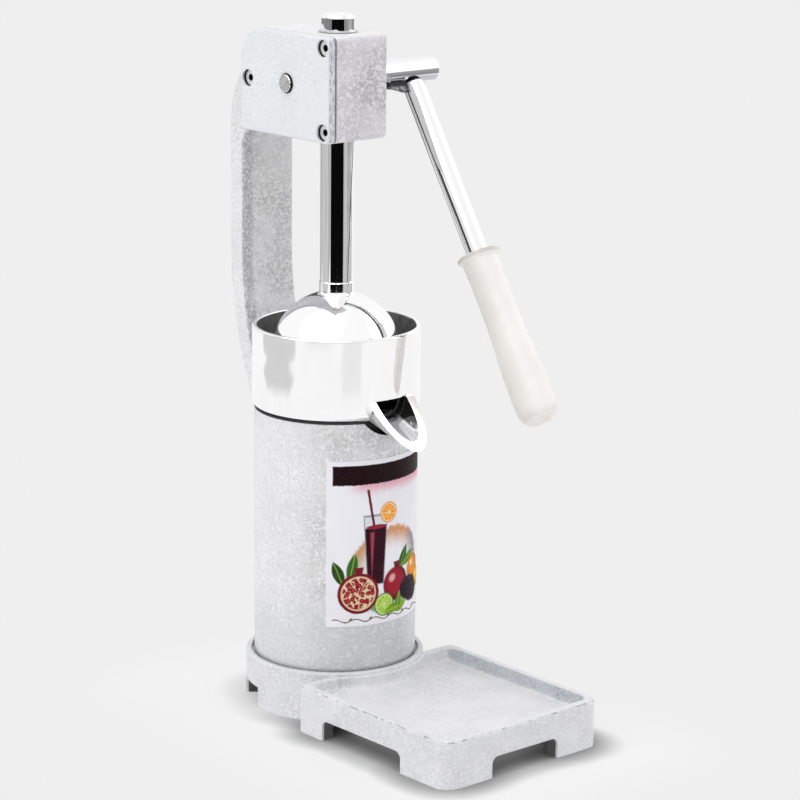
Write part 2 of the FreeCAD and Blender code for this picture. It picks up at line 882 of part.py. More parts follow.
def arm_outline():
    """Side view of the arm: straight above, bending forward into the column below."""
    back_radius = s.arm_bend_radius
    front_radius = back_radius - s.arm_thickness
    centre = s.arm_back - back_radius
    front = s.arm_back - s.arm_thickness
    fall = root(back_radius * back_radius - (s.arm_root_depth - centre) * (s.arm_root_depth - centre))
    deck_drop = s.arm_bend_height - s.column_top
    front_root = centre + root(front_radius * front_radius - deck_drop * deck_drop)
    crown_centre = s.arm_back - s.arm_crown_radius
    crown_end = s.head_back - s.arm_crown_inset
    crown_run = crown_end - crown_centre
    crown_rise = root(s.arm_crown_radius * s.arm_crown_radius - crown_run * crown_run)
    web = s.arm_web_radius
    inside = s.head_bottom + s.arm_web_radius
    return [
        (s.arm_root_depth, s.arm_bend_height - fall, back_radius, 1),
        (s.arm_back, s.arm_bend_height),
        (s.arm_back, s.arm_crown_height, s.arm_crown_radius, 1),
        (crown_end, s.arm_crown_height + crown_rise),
        (crown_end, inside),
        (front - web, inside),
        (front - web, s.head_bottom, web, -1),
        (front, s.head_bottom - web),
        (front, s.arm_bend_height, front_radius, -1),
        (front_root, s.column_top),
        (s.arm_root_depth, s.column_top),
    ]


def is_arm_edge(edge):
    """The long front and back edges of the arm's two sides."""
    box = edge.BoundBox
    on_side = box.XLength < 1e-6
    tall = box.ZLength > s.arm_web_radius.number - past
    behind = box.YMax > s.arm_root_depth.number + past
    inside_head = box.YLength < 1e-6 and box.YMax < s.head_back.number
    return on_side and tall and behind and not inside_head


def is_head_side_edge(edge):
    """The edges round the housing's face on the lever's side."""
    box = edge.BoundBox
    return box.XLength < 1e-6 and abs(box.XMin - s.head_side.number) < 1e-6


# Gear housing cover, gasket and screws

def make_gearbox_cover():
    body = new_body("gearbox_cover")
    plate = new_sketch(body, "YZ_Plane", "cover_view", -cover_outer)
    draw_outline(plate, head_outline())
    pad(body, plate, "cover_plate", s.cover_thickness)
    round_edges(body, "cover_edges", s.cover_edge, is_cover_front_edge)

    boss = new_sketch(body, "YZ_Plane", "cover_boss_view", -cover_inner)
    draw_circle(boss, shaft_depth, s.shaft_height, s.cover_boss_radius)
    pad(body, boss, "cover_boss", cover_inner - spacer_outer_face - s.side_play)

    bore = new_sketch(body, "YZ_Plane", "cover_bore_view", -bush_seat)
    draw_circle(bore, shaft_depth, s.shaft_height, end_bush_outer)
    pocket(body, bore, "cover_bore", bush_seat, reverse=True)
    window = new_sketch(body, "YZ_Plane", "cover_window_view", -cover_outer)
    draw_circle(window, shaft_depth, s.shaft_height, s.end_journal_radius + s.cover_lip_gap)
    pocket(body, window, "cover_window", cover_outer, reverse=True)

    for number, (across, up) in enumerate(cover_screw_places(), start=1):
        sink = new_sketch(body, "YZ_Plane", f"counterbore_view_{number}", -cover_outer)
        draw_circle(sink, across, up, s.counterbore_radius)
        pocket(body, sink, f"counterbore_{number}", s.counterbore_depth, reverse=True)
        hole = new_sketch(body, "YZ_Plane", f"screw_hole_view_{number}", -cover_outer)
        draw_circle(hole, across, up, s.screw_radius + s.screw_hole_gap)
        pocket(body, hole, f"screw_hole_{number}", s.cover_thickness + past, reverse=True)
    return body


def is_cover_front_edge(edge):
    box = edge.BoundBox
    return box.XLength < 1e-6 and abs(box.XMin + cover_outer.number) < 1e-6


def make_cover_gasket():
    body = new_body("cover_gasket")
    sheet_view = new_sketch(body, "YZ_Plane", "gasket_view", -cover_inner)
    draw_outline(sheet_view, head_outline(s.gasket_inset))
    pad(body, sheet_view, "gasket_sheet", s.gasket_thickness)
    window = new_sketch(body, "YZ_Plane", "gasket_window_view", -cover_inner)
    draw_outline(window, chamber_outline())
    pocket(body, window, "gasket_window", s.gasket_thickness + past, reverse=True)
    for number, (across, up) in enumerate(cover_screw_places(), start=1):
        hole = new_sketch(body, "YZ_Plane", f"gasket_hole_view_{number}", -cover_inner)
        draw_circle(hole, across, up, s.screw_radius + s.screw_hole_gap)
        pocket(body, hole, f"gasket_hole_{number}", s.gasket_thickness + past, reverse=True)
    return body


def joined(name, pieces):
    """Separate like solids kept together as one node."""
    group = doc.addObject("Part::Compound", name)
    group.Label = name
    group.Links = pieces
    return group


def cylinder(name, radius, height):
    piece = doc.addObject("Part::Cylinder", name)
    bind(piece, "Radius", radius)
    bind(piece, "Height", height)
    return piece


def place(piece, across=0.0, along=0.0, up=0.0, turn=None):
    """Move a primitive to a point tied to the sheet, after turning it."""
    if turn is not None:
        piece.Placement = FreeCAD.Placement(FreeCAD.Vector(0, 0, 0), turn)
    bind(piece, "Placement.Base.x", across)
    bind(piece, "Placement.Base.y", along)
    bind(piece, "Placement.Base.z", up)
    return piece


def hexagon(name, flats, height):
    piece = doc.addObject("Part::Prism", name)
    piece.Polygon = 6
    bind(piece, "Circumradius", as_size(flats) / math.sqrt(3.0))
    bind(piece, "Height", height)
    return piece


def fuse(name, first, second):
    joint = doc.addObject("Part::Fuse", name)
    joint.Base = first
    joint.Tool = second
    joint.Label = name
    return joint


def cut(name, first, second):
    rest = doc.addObject("Part::Cut", name)
    rest.Base = first
    rest.Tool = second
    rest.Label = name
    return rest


TOWARDS_PLUS_X = FreeCAD.Rotation(FreeCAD.Vector(0, 1, 0), 90)


def make_cover_screws():
    """Socket head screws that sit down in the cover's counterbores."""
    seat = cover_outer - s.counterbore_depth
    screws = []
    for number, (across, up) in enumerate(cover_screw_places(), start=1):
        shank = cylinder(f"cover_screw_shank_{number}", s.screw_radius, s.screw_length)
        place(shank, -seat, across, up, TOWARDS_PLUS_X)
        head = cylinder(f"cover_screw_head_{number}", s.screw_head_radius, s.screw_head_height)
        place(head, -seat - s.screw_head_height, across, up, TOWARDS_PLUS_X)
        socket = hexagon(f"cover_screw_socket_{number}", s.screw_socket, s.screw_socket_depth)
        place(socket, -seat - s.screw_head_height, across, up, TOWARDS_PLUS_X)
        whole = fuse(f"cover_screw_body_{number}", shank, head)
        screws.append(cut(f"cover_screw_{number}", whole, socket))
    return joined("cover_screws", screws)


# Bolts and washers that hold the column to the base from below

def make_base_fasteners():
    washer_face = roof_under - s.flat_washer_thickness
    bolts = []
    washers = []
    for number, angle in enumerate(base_bolt_angles, start=1):
        across, along = bolt_place(angle)
        shank_length = column_foot - washer_face + s.bolt_length
        shank = cylinder(f"base_bolt_shank_{number}", s.bolt_radius, shank_length)
        place(shank, across, along, washer_face)
        head = hexagon(f"base_bolt_head_{number}", s.bolt_head_flats, s.bolt_head_height)
        place(head, across, along, washer_face - s.bolt_head_height)
        bolts.append(fuse(f"base_bolt_{number}", shank, head))
        disc = cylinder(f"base_washer_disc_{number}", s.flat_washer_radius, s.flat_washer_thickness)
        place(disc, across, along, washer_face)
        hole_radius = s.bolt_radius + s.washer_hole_gap
        hole = cylinder(f"base_washer_hole_{number}", hole_radius, s.flat_washer_thickness)
        place(hole, across, along, washer_face)
        washers.append(cut(f"base_washer_{number}", disc, hole))
    return [joined("base_bolts", bolts), joined("base_washers", washers)]


# Guide bushes of the rod and bearing bushes of the shaft

def make_bushes():
    inner = s.rod_radius + s.running_gap
    upper = solid_of_revolution("upper_rod_bush", tube_profile(
        inner, bush_outer, s.chamber_top, s.head_top + s.bush_rise))
    lower = solid_of_revolution("lower_rod_bush", tube_profile(
        inner, bush_outer, s.head_bottom, s.chamber_bottom))
    shaft_bush = tube_along_x("shaft_bush", s.shaft_height, s.shaft_radius + s.running_gap,
                              shaft_bush_outer, s.chamber_end, s.head_side)
    cover_bush = tube_along_x("cover_bush", s.shaft_height, s.end_journal_radius + s.running_gap,
                              end_bush_outer, -bush_seat, -spacer_outer_face - s.side_play)
    return [upper, lower, shaft_bush, cover_bush]


# Press rod with the rack cut into its back

def make_rack_rod():
    body = new_body("rack_rod")
    crown_radius = s.rod_radius - s.rod_crown
    profile = new_sketch(body, "XZ_Plane", "rod_profile")
    draw_outline(profile, [
        (0.0, s.rod_bottom - s.spigot_length),
        (s.spigot_radius, s.rod_bottom - s.spigot_length),
        (s.spigot_radius, s.rod_bottom),
        (s.rod_radius - s.rod_edge, s.rod_bottom),
        (s.rod_radius, s.rod_bottom + s.rod_edge),
        (s.rod_radius, s.rod_top, s.rod_crown, 1),
        (crown_radius, s.rod_top + s.rod_crown),
        (0.0, s.rod_top + s.rod_crown),
    ])
    revolve(body, profile, "rod_turned")

    flat_low = s.shaft_height - rack_pitch * s.rack_gaps_down - s.rack_run_out
    flat_high = s.shaft_height + rack_pitch * s.rack_gaps_up + s.rack_run_out
    flat_end = s.rod_radius + past
    flat = new_sketch(body, "YZ_Plane", "rack_flat_view")
    draw_outline(flat, [
        (rack_flat, flat_low),
        (flat_end, flat_low),
        (flat_end, flat_high),
        (rack_flat, flat_high),
    ])
    pocket(body, flat, "rack_flat", s.rack_width, middle=True)

    gap = new_sketch(body, "YZ_Plane", "rack_gap_view")
    slope = tangent(s.pressure_angle)
    line_half = rack_pitch / 4 + s.tooth_slack
    tip_half = line_half + slope * (s.gear_module + past)
    root_half = line_half - slope * (s.gear_module + s.root_gap)
    low = s.shaft_height - rack_pitch * s.rack_gaps_down
    draw_outline(gap, [
        (rack_root, low - root_half),
        (rack_flat + past, low - tip_half),
        (rack_flat + past, low + tip_half),
        (rack_root, low + root_half),
    ])
    first = pocket(body, gap, "rack_gap", s.rack_width, middle=True)
    row = body.newObject("PartDesign::LinearPattern", "rack_gaps")
    row.Originals = [first]
    for item in body.Origin.OriginFeatures:
        if item.Role == "Z_Axis":
            row.Direction = (item, [""])
    bind(row, "Length", rack_pitch * (s.rack_gaps_down + s.rack_gaps_up))
    bind(row, "Occurrences", s.rack_gaps_down + s.rack_gaps_up + 1)
    body.Tip = row

    tapped = new_sketch(body, "XY_Plane", "rod_tapping_plan", s.rod_bottom - s.spigot_length)
    draw_circle(tapped, 0.0, 0.0, s.bolt_radius + s.thread_gap)
    pocket(body, tapped, "rod_tapping", s.bolt_length + s.bolt_end_play, reverse=True)
    return body


# Pinion, with involute teeth, one of which points forward into the rack

def involute_point(base, radius, lead):
    """A point of the flank at a radius; lead is the angle where the involute starts."""
    roll = math.sqrt(max((radius / base) ** 2 - 1.0, 0.0))
    angle = lead + roll - math.atan(roll)
    return FreeCAD.Vector(radius * math.cos(angle), radius * math.sin(angle), 0)


def pinion_tooth_wire():
    """The whole outline of the pinion in a plane, with a tooth on the +X side."""
    teeth = int(round(s.gear_teeth.number))
    pitch = gear_radius.number
    tip = gear_tip_radius.number - s.tip_relief.number
    foot = gear_root_radius.number
    base = pitch * math.cos(math.radians(s.pressure_angle.number))
    roll = math.sqrt((pitch / base) ** 2 - 1.0)
    half_tooth = math.pi / (2 * teeth) - s.tooth_slack.number / pitch
    lead = -half_tooth - (roll - math.atan(roll))
    start = max(base, foot)
    radii = [start + (tip - start) * step / 3.0 for step in range(4)]
    lower = [involute_point(base, radius, lead) for radius in radii]
    upper = [FreeCAD.Vector(p.x, -p.y, 0) for p in reversed(lower)]
    edges = []
    for number in range(teeth):
        turn = FreeCAD.Rotation(FreeCAD.Vector(0, 0, 1), 360.0 * number / teeth)
        after = FreeCAD.Rotation(FreeCAD.Vector(0, 0, 1), 360.0 * (number + 1) / teeth)
        rising = [turn.multVec(p) for p in lower]
        falling = [turn.multVec(p) for p in upper]
        foot_in = rising[0] * (foot / rising[0].Length)
        foot_out = falling[-1] * (foot / falling[-1].Length)
        next_in = after.multVec(lower[0])
        next_foot = next_in * (foot / next_in.Length)
        middle_foot = (foot_out + next_foot).normalize() * foot
        middle_tip = turn.multVec(FreeCAD.Vector(tip, 0, 0))
        edges.append(Part.LineSegment(foot_in, rising[0]).toShape())
        edges.append(Part.Arc(rising[0], rising[1], rising[3]).toShape())
        edges.append(Part.Arc(rising[3], middle_tip, falling[0]).toShape())
        edges.append(Part.Arc(falling[0], falling[2], falling[3]).toShape())
        edges.append(Part.LineSegment(falling[3], foot_out).toShape())
        edges.append(Part.Arc(foot_out, middle_foot, next_foot).toShape())
    return Part.Wire(edges)


def make_pinion_gear():
    """The gear blank is extruded from its toothed outline, then bored and slotted for the key."""
    teeth = doc.addObject("Part::Feature", "pinion_teeth")
    width = s.gear_half_width.number * 2
    face = Part.Face(pinion_tooth_wire())
    teeth.Shape = face.extrude(FreeCAD.Vector(0, 0, width))
    about_x = FreeCAD.Rotation(FreeCAD.Vector(0, 1, 0), 90)
    forward = FreeCAD.Rotation(FreeCAD.Vector(1, 0, 0), -90)
    teeth.Placement = FreeCAD.Placement(
        FreeCAD.Vector(-s.gear_half_width.number, shaft_depth.number, s.shaft_height.number),
        forward * about_x)
    bore = cylinder("pinion_bore", s.seat_journal_radius + s.running_gap, s.gear_half_width * 2)
    place(bore, -s.gear_half_width, shaft_depth, s.shaft_height, TOWARDS_PLUS_X)
    bored = cut("pinion_bored", teeth, bore)
    slot = key_block("pinion_keyway", s.gear_half_width, s.key_gap)
    return cut("pinion_gear", bored, slot)


def key_block(name, half_length, grow):
    """A rectangular block along the shaft, half in the shaft and half in the gear."""
    block = doc.addObject("Part::Box", name)
    bind(block, "Length", half_length * 2)
    bind(block, "Width", s.key_width + grow * 2)
    bind(block, "Height", s.key_height + grow * 2)
    bind(block, "Placement.Base.x", -half_length)
    bind(block, "Placement.Base.y", shaft_depth - s.key_width / 2 - grow)
    bind(block, "Placement.Base.z", s.shaft_height + s.seat_journal_radius - s.key_height / 2 - grow)
    return block


def make_pinion_shaft():
    """A stepped shaft: cover journal, gear seat, housing journal and long lever end."""
    body = new_body("pinion_shaft_turned")
    shoulder = spacer_outer_face + s.side_gap
    stub = cover_outer + s.shaft_stub
    sketch = new_sketch(body, "XY_Plane", "shaft_profile", s.shaft_height)
    bind(sketch, "AttachmentOffset.Base.y", shaft_depth)
    bevel = s.shaft_bevel
    draw_outline(sketch, [
        (-stub, 0.0),
        (s.shaft_reach, 0.0),
        (s.shaft_reach, s.shaft_radius - bevel),
        (s.shaft_reach - bevel, s.shaft_radius),
        (shoulder, s.shaft_radius),
        (shoulder, s.seat_journal_radius),
        (-spacer_outer_face, s.seat_journal_radius),
        (-spacer_outer_face, s.end_journal_radius),
        (-stub + bevel, s.end_journal_radius),
        (-stub, s.end_journal_radius - bevel),
    ])
    revolve(body, sketch, "shaft_turned", axis="H_Axis")
    slot = key_block("shaft_keyway", s.key_half_length + s.side_gap, s.key_gap)
    return cut("pinion_shaft", body, slot)


def make_pinion_key():
    block = key_block("pinion_key", s.key_half_length, 0.0)
    block.Label = "pinion_key"
    return block


def make_shaft_spacers():
    inner = s.seat_journal_radius + s.running_gap
    right = tube_along_x("shaft_spacer_right", s.shaft_height, inner, s.spacer_radius,
                         spacer_inner_face, spacer_outer_face)
    left = tube_along_x("shaft_spacer_left", s.shaft_height, inner, s.spacer_radius,
                        -spacer_outer_face, -spacer_inner_face)
    return joined("shaft_spacers", [right, left])


# Lever rod, its gusset and the hand grip

def lever_turn():
    """Turns +Z to point along the lever, away from the shaft."""
    return FreeCAD.Rotation(FreeCAD.Vector(1, 0, 0), 180.0 - s.lever_angle.number)


def place_on_lever(piece, distance):
    """Put a piece made along +Z on the lever's axis, at a distance from the shaft's axis."""
    piece.Placement = FreeCAD.Placement(FreeCAD.Vector(0, 0, 0), lever_turn())
    bind(piece, "Placement.Rotation.Angle", 180.0 - s.lever_angle)
    bind(piece, "Placement.Base.x", s.lever_offset)
    bind(piece, "Placement.Base.y", shaft_depth - sine(s.lever_angle) * distance)
    bind(piece, "Placement.Base.z", s.shaft_height - cosine(s.lever_angle) * distance)


def make_lever():
    bar = cylinder("lever_bar", s.lever_radius, s.lever_length)
    place_on_lever(bar, 0.0)
    hollow = cylinder("lever_cope", s.shaft_radius, s.lever_radius * 4)
    place(hollow, s.lever_offset - s.lever_radius * 2, shaft_depth, s.shaft_height, TOWARDS_PLUS_X)
    rod = cut("lever_rod", bar, hollow)

    grip = new_body("hand_grip")
    sketch = new_sketch(grip, "XZ_Plane", "grip_profile")
    bore = s.lever_radius + s.running_gap
    bore_end = s.lever_length - s.grip_start + s.grip_bore_play
    edge = s.grip_flange_edge
    draw_outline(sketch, [
        (bore, 0.0),
        (s.grip_flange_radius - edge, 0.0),
        (s.grip_flange_radius, edge),
        (s.grip_flange_radius, s.grip_flange_width),
        (s.grip_neck_radius, s.grip_neck_at, s.grip_neck_curve, -1),
        (s.grip_waist_radius, s.grip_waist_at, s.grip_curve, -1),
        ((s.grip_waist_radius + s.grip_belly_radius) / 2,
         (s.grip_waist_at + s.grip_belly_at) / 2, s.grip_curve, 1),
        (s.grip_belly_radius, s.grip_belly_at, s.grip_belly_curve, 1),
        (s.grip_shoulder_radius, s.grip_shoulder_at, s.grip_shoulder_curve, 1),
        (s.grip_end_radius, s.grip_length),
        (0.0, s.grip_length),
        (0.0, bore_end),
        (bore, bore_end),
    ])
    revolve(grip, sketch, "grip_turned")
    place_on_lever(grip, s.grip_start)
    return [rod, grip, make_gusset()]


def make_gusset():
    """A thin web under the shaft that stiffens the lever's weld."""
    body = new_body("lever_gusset")
    sketch = new_sketch(body, "XZ_Plane", "gusset_view")
    near = s.lever_offset - s.lever_radius
    top = -s.shaft_radius
    draw_outline(sketch, [
        (near - s.gusset_length, top),
        (near - s.gusset_length, top - s.gusset_edge),
        (near, top - s.gusset_drop),
        (near, top),
    ])
    pad(body, sketch, "gusset_plate", s.gusset_thickness, middle=True)
    body.Placement = FreeCAD.Placement(
        FreeCAD.Vector(0, 0, 0), FreeCAD.Rotation(FreeCAD.Vector(1, 0, 0), -s.lever_angle.number))
    bind(body, "Placement.Rotation.Angle", s.lever_angle)
    bind(body, "Placement.Base.y", shaft_depth)
    bind(body, "Placement.Base.z", s.shaft_height)
    return body


# Pressing bell on the rod's end, with its bolt and washer

def make_press_bell():
    body = new_body("press_bell")
    outer = s.bell_radius
    inner = s.bell_radius - s.bell_wall
    neck = s.bell_neck_radius
    boss = s.bell_boss_radius
    curve = s.bell_neck_curve
    reach = outer + curve
    neck_rise = root(reach * reach - (neck + curve) * (neck + curve))
    share = outer / reach
    boss_base = s.bell_centre + root(inner * inner - boss * boss)
    rim = s.bell_centre - s.bell_skirt
    bore = s.spigot_radius + s.running_gap
    profile = new_sketch(body, "XZ_Plane", "bell_profile")
    draw_outline(profile, [
        (inner, rim),
        (outer, rim),
        (outer, s.bell_centre, outer, 1),
        ((neck + curve) * share, s.bell_centre + neck_rise * share, curve, -1),
        (neck, s.bell_centre + neck_rise),
        (neck, s.rod_bottom - s.rod_edge),
        (neck - s.rod_edge, s.rod_bottom),
        (bore, s.rod_bottom),
        (bore, s.bell_boss_bottom),
        (boss, s.bell_boss_bottom),
        (boss, boss_base, inner, -1),
        (inner, s.bell_centre),
    ])
    revolve(body, profile, "bell_turned")

    washer_top = s.bell_boss_bottom
    washer_low = washer_top - s.flat_washer_thickness
    washer = solid_of_revolution("bell_washer", tube_profile(
        s.bolt_radius + s.washer_hole_gap, boss - s.bell_washer_inset, washer_low, washer_top))
    shank = cylinder("bell_bolt_shank", s.bolt_radius, s.bolt_length + s.flat_washer_thickness)
    place(shank, 0.0, 0.0, washer_low)
    head = hexagon("bell_bolt_head", s.bolt_head_flats, s.bolt_head_height)
    place(head, 0.0, 0.0, bell_bolt_under)
    return [body, washer, fuse("bell_bolt", shank, head)]


# Juice cup with its cast spout

def make_juice_cup():
    body = new_body("cup_casting")
    slope = s.spout_slope_angle
    axis_start = s.spout_axis_height + (s.cup_radius - s.spout_start) * tangent(slope)
    tube = new_sketch(body, "XZ_Plane", "spout_section")
    draw_circle(tube, 0.0, 0.0, s.spout_root_radius)
    tilt_towards_spout(tube, s.spout_start, axis_start)
    outside = pad(body, tube, "spout_tube", s.spout_reach - s.spout_start)
    bind(outside, "TaperAngle", -s.spout_taper_angle)

    lip = new_sketch(body, "YZ_Plane", "spout_lip_view")
    draw_outline(lip, lip_outline(s.spout_start - s.cup_wall))
    pocket(body, lip, "spout_lip", (s.spout_root_radius + past) * 2, middle=True)

    wall_in = s.cup_radius - s.cup_wall
    ledge_in = wall_in - s.cup_ledge_width
    floor_top = s.column_top + s.cup_floor
    spigot = s.seat_radius - s.cup_spigot_gap
    spigot_low = s.column_top - s.seat_depth + s.cup_spigot_gap
    corner = s.cup_corner
    edge = s.cup_rim_edge
    pin_hole = s.cone_pin_radius + s.cone_pin_gap
    pin_hole_end = s.cup_ledge_height - s.cone_pin_length - s.cone_pin_play
    profile = new_sketch(body, "XZ_Plane", "cup_profile")
    draw_outline(profile, [
        (0.0, spigot_low),
        (spigot, spigot_low),
        (spigot, s.column_top),
        (s.cup_radius - corner, s.column_top, corner, 1),
        (s.cup_radius, s.column_top + corner),
        (s.cup_radius, s.cup_top - edge, edge, 1),
        (s.cup_radius - edge, s.cup_top),
        (wall_in + edge, s.cup_top, edge, 1),
        (wall_in, s.cup_top - edge),
        (wall_in, s.cup_ledge_height),
        (ledge_in, s.cup_ledge_height),
        (ledge_in, floor_top),
        (s.cup_post_radius, floor_top),
        (s.cup_post_radius, s.cup_ledge_height),
        (pin_hole, s.cup_ledge_height),
        (pin_hole, pin_hole_end),
        (0.0, pin_hole_end),
    ])
    revolve(body, profile, "cup_turned")

    channel = new_body("spout_channel")
    bore_start = s.spout_axis_height + (s.cup_radius - s.spout_bore_start) * tangent(slope)
    hole = new_sketch(channel, "XZ_Plane", "spout_bore_section")
    draw_circle(hole, 0.0, 0.0, s.spout_bore)
    tilt_towards_spout(hole, s.spout_bore_start, bore_start)
    pad(channel, hole, "spout_bore_core", s.spout_reach - s.spout_bore_start)
    top = new_sketch(channel, "YZ_Plane", "spout_opening_view")
    draw_outline(top, lip_outline(0.0))
    pocket(channel, top, "spout_opening_top", (s.spout_root_radius + past) * 2, middle=True)
    return cut("juice_cup", body, channel)


def tilt_towards_spout(sketch, out, height):
    """Turn a front view sketch so that its normal points down the spout."""
    sketch.AttachmentOffset = FreeCAD.Placement(
        FreeCAD.Vector(0, 0, 0), FreeCAD.Rotation(FreeCAD.Vector(1, 0, 0), s.spout_slope_angle.number))
    bind(sketch, "AttachmentOffset.Rotation.Angle", s.spout_slope_angle)
    bind(sketch, "AttachmentOffset.Base.y", height)
    bind(sketch, "AttachmentOffset.Base.z", out)


def lip_outline(back):
    """What lies above the slanted lip plane, from a distance behind it to past the tip."""
    back = as_size(back)
    fall = tangent(s.spout_lip_angle)
    far = s.spout_reach + s.spout_root_radius
    high = s.spout_lip_height + s.spout_root_radius * 2
    return [
        (-far, s.spout_lip_height - (far - s.cup_radius) * fall),
        (-s.cup_radius, s.spout_lip_height),
        (-back, s.spout_lip_height),
        (-back, high),
        (-far, high),
    ]


# Strainer plate and the ribbed pressing cone that stands on it

def make_strainer_plate():
    body = new_body("strainer_plate")
    outer = s.cup_radius - s.cup_wall - s.strainer_gap
    inner = s.cone_pin_radius + s.cone_pin_gap
    profile = new_sketch(body, "XZ_Plane", "strainer_profile")
    draw_outline(profile, tube_profile(inner, outer, s.cup_ledge_height, strainer_top))
    revolve(body, profile, "strainer_disc")
    for row in range(2):
        radius = s.strainer_inner_row + s.strainer_row_step * row
        hole = new_sketch(body, "XY_Plane", f"strainer_hole_plan_{row}", strainer_top)
        draw_circle(hole, radius, 0.0, s.strainer_hole_radius)
        first = pocket(body, hole, f"strainer_hole_{row}", s.strainer_thickness + past)
        around(body, first, f"strainer_ring_{row}", s.strainer_holes)
    return body


def make_pressing_cone():
    body = new_body("pressing_cone")
    profile = new_sketch(body, "XZ_Plane", "cone_profile")
    draw_outline(profile, [
        (0.0, s.cup_ledge_height - s.cone_pin_length),
        (s.cone_pin_radius, s.cup_ledge_height - s.cone_pin_length),
        (s.cone_pin_radius, strainer_top),
        (s.cone_radius, strainer_top),
        (s.cone_radius, strainer_top + s.cone_base, s.cone_curve, 1),
        (s.cone_top_radius, cone_top),
        (0.0, cone_top),
    ])
    revolve(body, profile, "cone_turned")
    rib = new_sketch(body, "XZ_Plane", "rib_view")
    root_in = s.cone_top_radius - s.cone_rib_root
    foot_out = s.cone_radius - s.cone_rib_inset
    foot_up = strainer_top + s.cone_base
    draw_outline(rib, [
        (root_in, foot_up),
        (foot_out, foot_up),
        (foot_out, foot_up + s.cone_rib_rise, s.cone_curve, 1),
        (s.cone_top_radius - s.cone_rib_inset, cone_top + s.cone_rib_rise),
        (root_in, cone_top + s.cone_rib_rise),
    ])
    first = pad(body, rib, "rib", s.cone_rib_width, middle=True)
    around(body, first, "ribs", s.cone_ribs)
    return body


# Paper label wrapped round the front of the column

def make_front_label():
    body = new_body("front_label")
    sketch = new_sketch(body, "YZ_Plane", "label_section")
    inner = -(s.column_radius + s.label_gap)
    outer = inner - s.label_thickness
    draw_outline(sketch, [
        (outer, s.label_bottom),
        (inner, s.label_bottom),
        (inner, s.label_top),
        (outer, s.label_top),
    ])
    revolve(body, sketch, "label_sheet", s.label_half_angle * 2, middle=True)
    return body


pieces = [make_base_tray(), make_frame_casting(), make_gearbox_cover(), make_cover_gasket()]
pieces += [make_cover_screws(), *make_base_fasteners(), *make_bushes()]
pieces += [make_rack_rod(), make_pinion_gear(), make_pinion_shaft(), make_pinion_key()]
pieces += [make_shaft_spacers(), *make_lever(), *make_press_bell()]
pieces += [make_juice_cup(), make_strainer_plate(), make_pressing_cone(), make_front_label()]
doc.recompute()

# Every feature has to be sound before anything is written
for item in doc.Objects:
    if "Invalid" in item.State or "Error" in item.State:
        raise RuntimeError(f"{item.Name} failed: {item.State}")
for piece in pieces:
    if piece.Shape.isNull() or not piece.Shape.isValid():
        raise RuntimeError(f"{piece.Label} has no sound shape")

os.makedirs("parts", exist_ok=True)
for piece in pieces:
    piece.Shape.exportStep(f"parts/{piece.Label}.step")
    box = piece.Shape.optimalBoundingBox(False, False)
    print(f"{piece.Label}: {len(piece.Shape.Solids)} solids, {piece.Shape.Volume:.1f} mm3, "
          f"x {box.XMin:.1f}..{box.XMax:.1f} "
          f"y {box.YMin:.1f}..{box.YMax:.1f} "
          f"z {box.ZMin:.1f}..{box.ZMax:.1f}")
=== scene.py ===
import math
import bpy
from mathutils import Matrix, Vector


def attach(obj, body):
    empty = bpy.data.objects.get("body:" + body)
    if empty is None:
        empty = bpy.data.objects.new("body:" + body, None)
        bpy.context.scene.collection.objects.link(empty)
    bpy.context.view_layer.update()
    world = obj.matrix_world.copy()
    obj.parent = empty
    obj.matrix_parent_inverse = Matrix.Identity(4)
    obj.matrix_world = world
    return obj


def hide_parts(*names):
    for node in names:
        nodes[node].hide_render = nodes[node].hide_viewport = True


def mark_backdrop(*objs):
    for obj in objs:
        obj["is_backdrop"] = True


# Looks of a hand press for pomegranates and citrus fruit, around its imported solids.
# Everything is in metres in the row frame: +Z up, -Y front, +X the lever's side.

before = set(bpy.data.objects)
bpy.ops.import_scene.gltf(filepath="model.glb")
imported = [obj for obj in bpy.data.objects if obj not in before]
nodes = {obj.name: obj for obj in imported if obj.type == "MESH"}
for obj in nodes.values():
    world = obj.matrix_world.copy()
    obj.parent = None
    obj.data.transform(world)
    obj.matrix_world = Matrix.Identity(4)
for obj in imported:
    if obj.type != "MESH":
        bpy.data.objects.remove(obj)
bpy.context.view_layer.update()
MM = 0.001


# Wires: sockets of a shader tree with arithmetic

class Wire:
    """An output socket that can be added to, multiplied and so on."""

    def __init__(self, tree, socket):
        self.tree = tree
        self.socket = socket

    def math(self, operation, *others):
        node = self.tree.nodes.new("ShaderNodeMath")
        node.operation = operation
        for place, value in enumerate((self,) + others):
            feed(self.tree, node.inputs[place], value)
        return Wire(self.tree, node.outputs[0])

    def __add__(self, other):
        return self.math("ADD", other)

    __radd__ = __add__

    def __sub__(self, other):
        return self.math("SUBTRACT", other)

    def __rsub__(self, other):
        return (self * -1.0) + other

    def __mul__(self, other):
        return self.math("MULTIPLY", other)

    __rmul__ = __mul__

    def __truediv__(self, other):
        return self.math("DIVIDE", other)

    def power(self, other):
        return self.math("POWER", other)

    def size(self):
        return self.math("ABSOLUTE")

    def least(self, other):
        return self.math("MINIMUM", other)

    def most(self, other):
        return self.math("MAXIMUM", other)

    def root(self):
        return self.math("SQRT")

    def sine(self):
        return self.math("SINE")

    def cosine(self):
        return self.math("COSINE")

    def step(self, low, high):
        """0 below low and 1 above high, with a smooth change between; high may be the lower."""
        node = self.tree.nodes.new("ShaderNodeMapRange")
        node.interpolation_type = "SMOOTHSTEP"
        feed(self.tree, node.inputs["Value"], self)
        feed(self.tree, node.inputs["From Min"], low)
        feed(self.tree, node.inputs["From Max"], high)
        return Wire(self.tree, node.outputs["Result"])


def length(first, second):
    """The length of a flat vector, from its two parts."""
    return (first * first + second * second).root()


